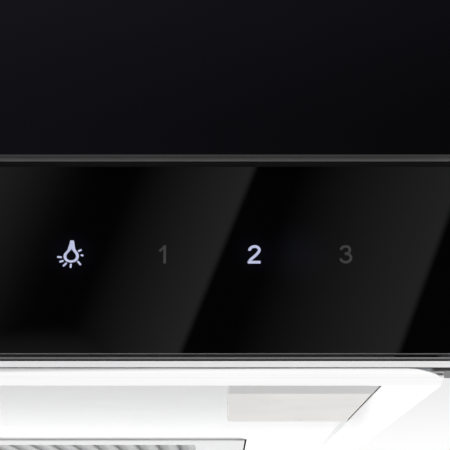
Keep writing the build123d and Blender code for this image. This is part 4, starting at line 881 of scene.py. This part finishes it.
def buildWheelTree():
    tree, given = startTree("fanWheel", wheelValues)
    radius, bore, hub, ringWidth = (
        given[label] for label in ("Radius", "Bore", "Hub Radius", "Ring Width"))
    middle = minus(radius, times(ringWidth, 0.5))
    end = minus(given["Half Length"], times(given["Ring Sheet"], 0.5))
    sine = calc("SINE", times(given["Blade Sweep"], 0.5))
    arcRadius = over(given["Blade Depth"], times(sine, 2.0))
    arc = nodeOut(tree, "GeometryNodeCurveArc", {
        "Resolution": 8, "Radius": arcRadius, "Start Angle": 0.0,
        "Sweep Angle": given["Blade Sweep"]}, mode="RADIUS")
    blade = swept(tree, arc, oblong(tree, given["Thickness"], times(end, 2.0)))
    sideways = times(arcRadius, given["Blade Shift"])
    back = times(given["Blade Depth"], -0.5)
    blade = moved(tree, blade, Translation=vector(tree, sideways, back))
    blade = moved(tree, blade, Rotation=vector(tree, z=given["Blade Lean"]))
    blades = copiesRound(tree, blade, given["Blades"], middle)
    ring = ringPiece(tree, middle, ringWidth, given["Ring Sheet"], given["Ring Segments"])
    rings = [moved(tree, ring, Translation=vector(tree, z=times(end, sign)))
             for sign in (-1.0, 1.0)]
    disc = ringBetween(tree, bore, radius, given["Disc Sheet"], given["Ring Segments"])
    hubRing = ringBetween(tree, bore, hub, given["Hub Length"], given["Hub Segments"])
    ribLength = minus(minus(radius, ringWidth), hub)
    ribHeight = times(given["Hub Length"], given["Rib Share"])
    rib = nodeOut(tree, "GeometryNodeMeshCube", {
        "Size": vector(tree, ribLength, given["Rib Thickness"], ribHeight)})
    ribs = copiesRound(tree, rib, given["Ribs"], plus(hub, times(ribLength, 0.5)))
    wheel = joined(tree, blades, disc, hubRing, ribs, *rings)
    solid = nodeOut(tree, "GeometryNodeRealizeInstances", {0: wheel})
    laid = moved(tree, solid, Translation=given["Centre"], Rotation=(0, math.pi / 2, 0))
    return closeTree(tree, given, laid)


wheel = runTree("fanWheel", buildWheelTree(), wheelValues, finishes["fan_plastic"])
smoothBy(wheel, wheelSmooth)
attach(wheel, "fan_wheel")
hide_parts("impeller")
print("fan wheel made,", len(wheel.data.polygons), "faces")


# stage: a pale floor, a slatted screen, the room, lamps and camera

def stageSheet(name, corners, material):
    mesh = bpy.data.meshes.new(name)
    mesh.from_pydata(corners, [], [(0, 1, 2, 3)])
    mesh.materials.append(material)
    obj = addObject(name, mesh)
    return obj


# pool and fade are distances from the middle of the floor
floorValues = {"height": -0.75, "size": 9.0, "tones": ((0.84, 0.84, 0.845), (0.87, 0.87, 0.875)),
               "near": (1.06, 1.06, 1.06), "far": (0.8, 0.8, 0.805), "pool": (1.6, 2.8),
               "fade": (1.7, 4.2), "speckle": 2.0}


def paleFloor(name, values):
    material, tree = blankMaterial(name)
    place = addNode(tree, "ShaderNodeTexCoord").outputs["Object"]
    speckle = noise(place, values["speckle"], 3.0)["Fac"]
    plain = nodeOut(tree, "ShaderNodeBsdfDiffuse", {"Color": mixColours(speckle, *values["tones"])})
    away = distance(place, (0, 0, values["height"]))
    # painted pool of light: for glossy rays the floor glows brightest near the middle and dims away
    # from it
    pool = mixColours(remap(away, *values["pool"]), values["near"], values["far"])
    shown = nodeOut(tree, "ShaderNodeEmission", {"Color": pool, "Strength": 1.0})
    path = addNode(tree, "ShaderNodeLightPath").outputs
    mirror = calc("MAXIMUM", path["Is Glossy Ray"], path["Is Transmission Ray"])
    front = nodeOut(tree, "ShaderNodeMixShader", {0: mirror, 1: plain, 2: shown})
    # clear from below; seen directly, it also fades into the background before its edge
    fade = times(remap(away, *values["fade"]), path["Is Camera Ray"])
    back = addNode(tree, "ShaderNodeNewGeometry").outputs["Backfacing"]
    clear = nodeOut(tree, "ShaderNodeBsdfTransparent")
    gone = calc("MAXIMUM", back, fade)
    both = nodeOut(tree, "ShaderNodeMixShader", {0: gone, 1: front, 2: clear})
    addNode(tree, "ShaderNodeOutputMaterial", {"Surface": both})
    return material


half, level = floorValues["size"] / 2, floorValues["height"]
floor = stageSheet("floor", [(-half, -half, level), (half, -half, level), (half, half, level),
                             (-half, half, level)], paleFloor("floorPaint", floorValues))
floor.visible_shadow = False  # the low lamp shines up through it

# a slatted dark screen in front, seen only in reflections, gives the glass its slanting bands;
# plainX and plainZ are where the part above the slats brightens, and by how much
screenValues = {"y": -2.5, "low": 0.303, "high": 1.97, "half": 2.2, "lean": 0.395, "pivot": 0.5,
                "start": 0.378, "pitch": 0.4086, "riseLeft": 0.42, "riseRight": 0.2, "crest": 0.95,
                "fall": 0.955, "peak": 0.34, "split": 0.684, "softLeft": (-0.2, 0.08), "glow": 0.16,
                "glowZ": (0.37, 0.3), "glowX": (0.26, 0.1), "plainX": (-0.1, 0.95, 0.117, 0.028),
                "plainZ": (0.75, 1.7, 0.0, 0.052), "upperTint": (0.9, 0.86, 1.15)}


def slattedScreen(name, values):
    material, tree = blankMaterial(name)
    place = axes(addNode(tree, "ShaderNodeTexCoord").outputs["Object"])
    height = minus(place["Z"], values["pivot"])
    slant = minus(place["X"], times(height, values["lean"]))
    count = over(minus(slant, values["start"]), values["pitch"])
    phase = calc("FRACT", count)
    right = calc("GREATER_THAN", slant, values["start"])
    start = remap(right, 0, 1, values["riseLeft"], values["riseRight"], smooth=False)
    rise = remap(phase, start, values["crest"], smooth=False)
    bands = times(rise, remap(phase, 1.0, values["fall"]))
    softLow, softHigh = values["softLeft"]
    leftmost = remap(slant, softLow, softHigh, 1.0, 0.0)
    bands = mixValues(calc("LESS_THAN", slant, softHigh), bands, leftmost)
    bands = times(bands, values["peak"])
    corner = times(remap(place["Z"], *values["glowZ"]), remap(place["X"], *values["glowX"]))
    bands = calc("MAXIMUM", bands, times(corner, values["glow"]))
    plain = plus(remap(place["X"], *values["plainX"], smooth=False),
                 remap(place["Z"], *values["plainZ"], smooth=False))
    upper = calc("GREATER_THAN", place["Z"], values["split"])
    tint = mixColours(upper, (1.0, 1.0, 1.0), values["upperTint"])
    strength = mixValues(upper, bands, plain)
    shine = nodeOut(tree, "ShaderNodeEmission", {"Color": tint, "Strength": strength})
    addNode(tree, "ShaderNodeOutputMaterial", {"Surface": shine})
    return material


reach, depth = screenValues["half"], screenValues["y"]
low, high = screenValues["low"], screenValues["high"]
screen = stageSheet("slattedScreen", [(-reach, depth, low), (reach, depth, low),
                                      (reach, depth, high), (-reach, depth, high)],
                    slattedScreen("screenSlats", screenValues))
for kind in ("camera", "diffuse", "transmission", "shadow", "volume_scatter"):
    setattr(screen, "visible_" + kind, False)

# tones of the room by ray direction: what the camera sees, and what polished steel mirrors
# in front, behind and on the right; the bright tones lie only low down
roomValues = {"background": (0.83, 0.83, 0.84), "horizon": (1.0, 1.0, 1.0),
              "horizonZ": (0.065, 0.135), "side": (1.09, 1.09, 1.09), "dim": (0.66, 0.66, 0.67),
              "aheadLean": 0.64, "aheadZ": (0.06, 0.17), "bright": (1.8, 1.8, 1.8),
              "low": (0.8, 0.8, 0.805), "behindZ": (0.071, 0.096), "right": (1.6, 1.6, 1.6),
              "rightX": (0.1, 0.125), "levelZ": 0.3, "fill": (0.62, 0.62, 0.63)}


def paleRoom(name, values):
    world = bpy.data.worlds.new(name)
    world.use_nodes = True
    tree = world.node_tree
    tree.nodes.clear()
    ray = axes(addNode(tree, "ShaderNodeTexCoord").outputs["Generated"])
    rise = calc("ABSOLUTE", ray["Z"])
    plain = mixColours(remap(rise, *values["horizonZ"]), values["horizon"], values["background"])
    slanted = minus(ray["Z"], times(ray["X"], values["aheadLean"]))
    ahead = mixColours(remap(slanted, *values["aheadZ"]), values["side"], values["dim"])
    behind = mixColours(remap(rise, *values["behindZ"], smooth=False), values["bright"],
                        values["low"])
    behind = mixColours(remap(ray["X"], *values["rightX"]), behind, values["right"])
    below, inFront, nearLevel = (calc("LESS_THAN", value, limit) for value, limit in (
        (ray["Z"], 0.0), (ray["Y"], 0.0), (rise, values["levelZ"])))
    behind = mixColours(below, values["horizon"], behind)
    mirrored = mixColours(inFront, behind, ahead)
    mirrored = mixColours(nearLevel, values["background"], mirrored)
    path = addNode(tree, "ShaderNodeLightPath").outputs
    tone = mixColours(path["Is Glossy Ray"], plain, mirrored)
    seen = calc("MAXIMUM", path["Is Camera Ray"], path["Is Glossy Ray"])
    seen = calc("MAXIMUM", seen, path["Is Transmission Ray"])
    shown = nodeOut(tree, "ShaderNodeBackground", {"Color": tone, "Strength": 1.0})
    soft = nodeOut(tree, "ShaderNodeBackground", {"Color": (*values["fill"], 1), "Strength": 1.0})
    mixed = nodeOut(tree, "ShaderNodeMixShader", {0: seen, 1: soft, 2: shown})
    addNode(tree, "ShaderNodeOutputWorld", {"Surface": mixed})
    return world


bpy.context.scene.world = paleRoom("paleRoom", roomValues)

lampValues = {
    "keySoftbox": dict(place=(-1.6, -3.2, 2.9), size=1.8, power=48, mirrored=False),
    "sideSoftbox": dict(place=(2.8, -1.6, 1.6), size=1.4, power=22, mirrored=True),
    "topSoftbox": dict(place=(0.2, 0.6, 3.4), size=1.6, power=24, mirrored=True),
    "lowSoftbox": dict(place=(0.76, -5.5, -1.08), size=2.3, power=50, mirrored=False),
}
lampTarget = Vector((0.0, -0.2, 0.25))
for name, values in lampValues.items():
    light = bpy.data.lights.new(name, "AREA")
    light.shape = "SQUARE"
    light.size = values["size"]
    light.energy = values["power"]
    lamp = addObject(name, light)
    lamp.location = values["place"]
    lamp.rotation_euler = (lampTarget - lamp.location).to_track_quat("-Z", "Y").to_euler()
    lamp.visible_glossy = values["mirrored"]

cameraValues = {"place": (0.3768, -0.861, -0.0486), "rise": 13.99, "lens": 104.0, "sensor": 36.0,
                "near": 0.01}
cameraData = bpy.data.cameras.new("photoCamera")
cameraData.lens = cameraValues["lens"]
cameraData.sensor_width = cameraValues["sensor"]
cameraData.clip_start = cameraValues["near"]
camera = addObject("photoCamera", cameraData)
camera.location = cameraValues["place"]
camera.rotation_euler = (math.radians(90 + cameraValues["rise"]), 0, 0)
bpy.context.scene.camera = camera
bpy.context.scene.view_settings.view_transform = "Standard"
print("stage, lamps and camera set")
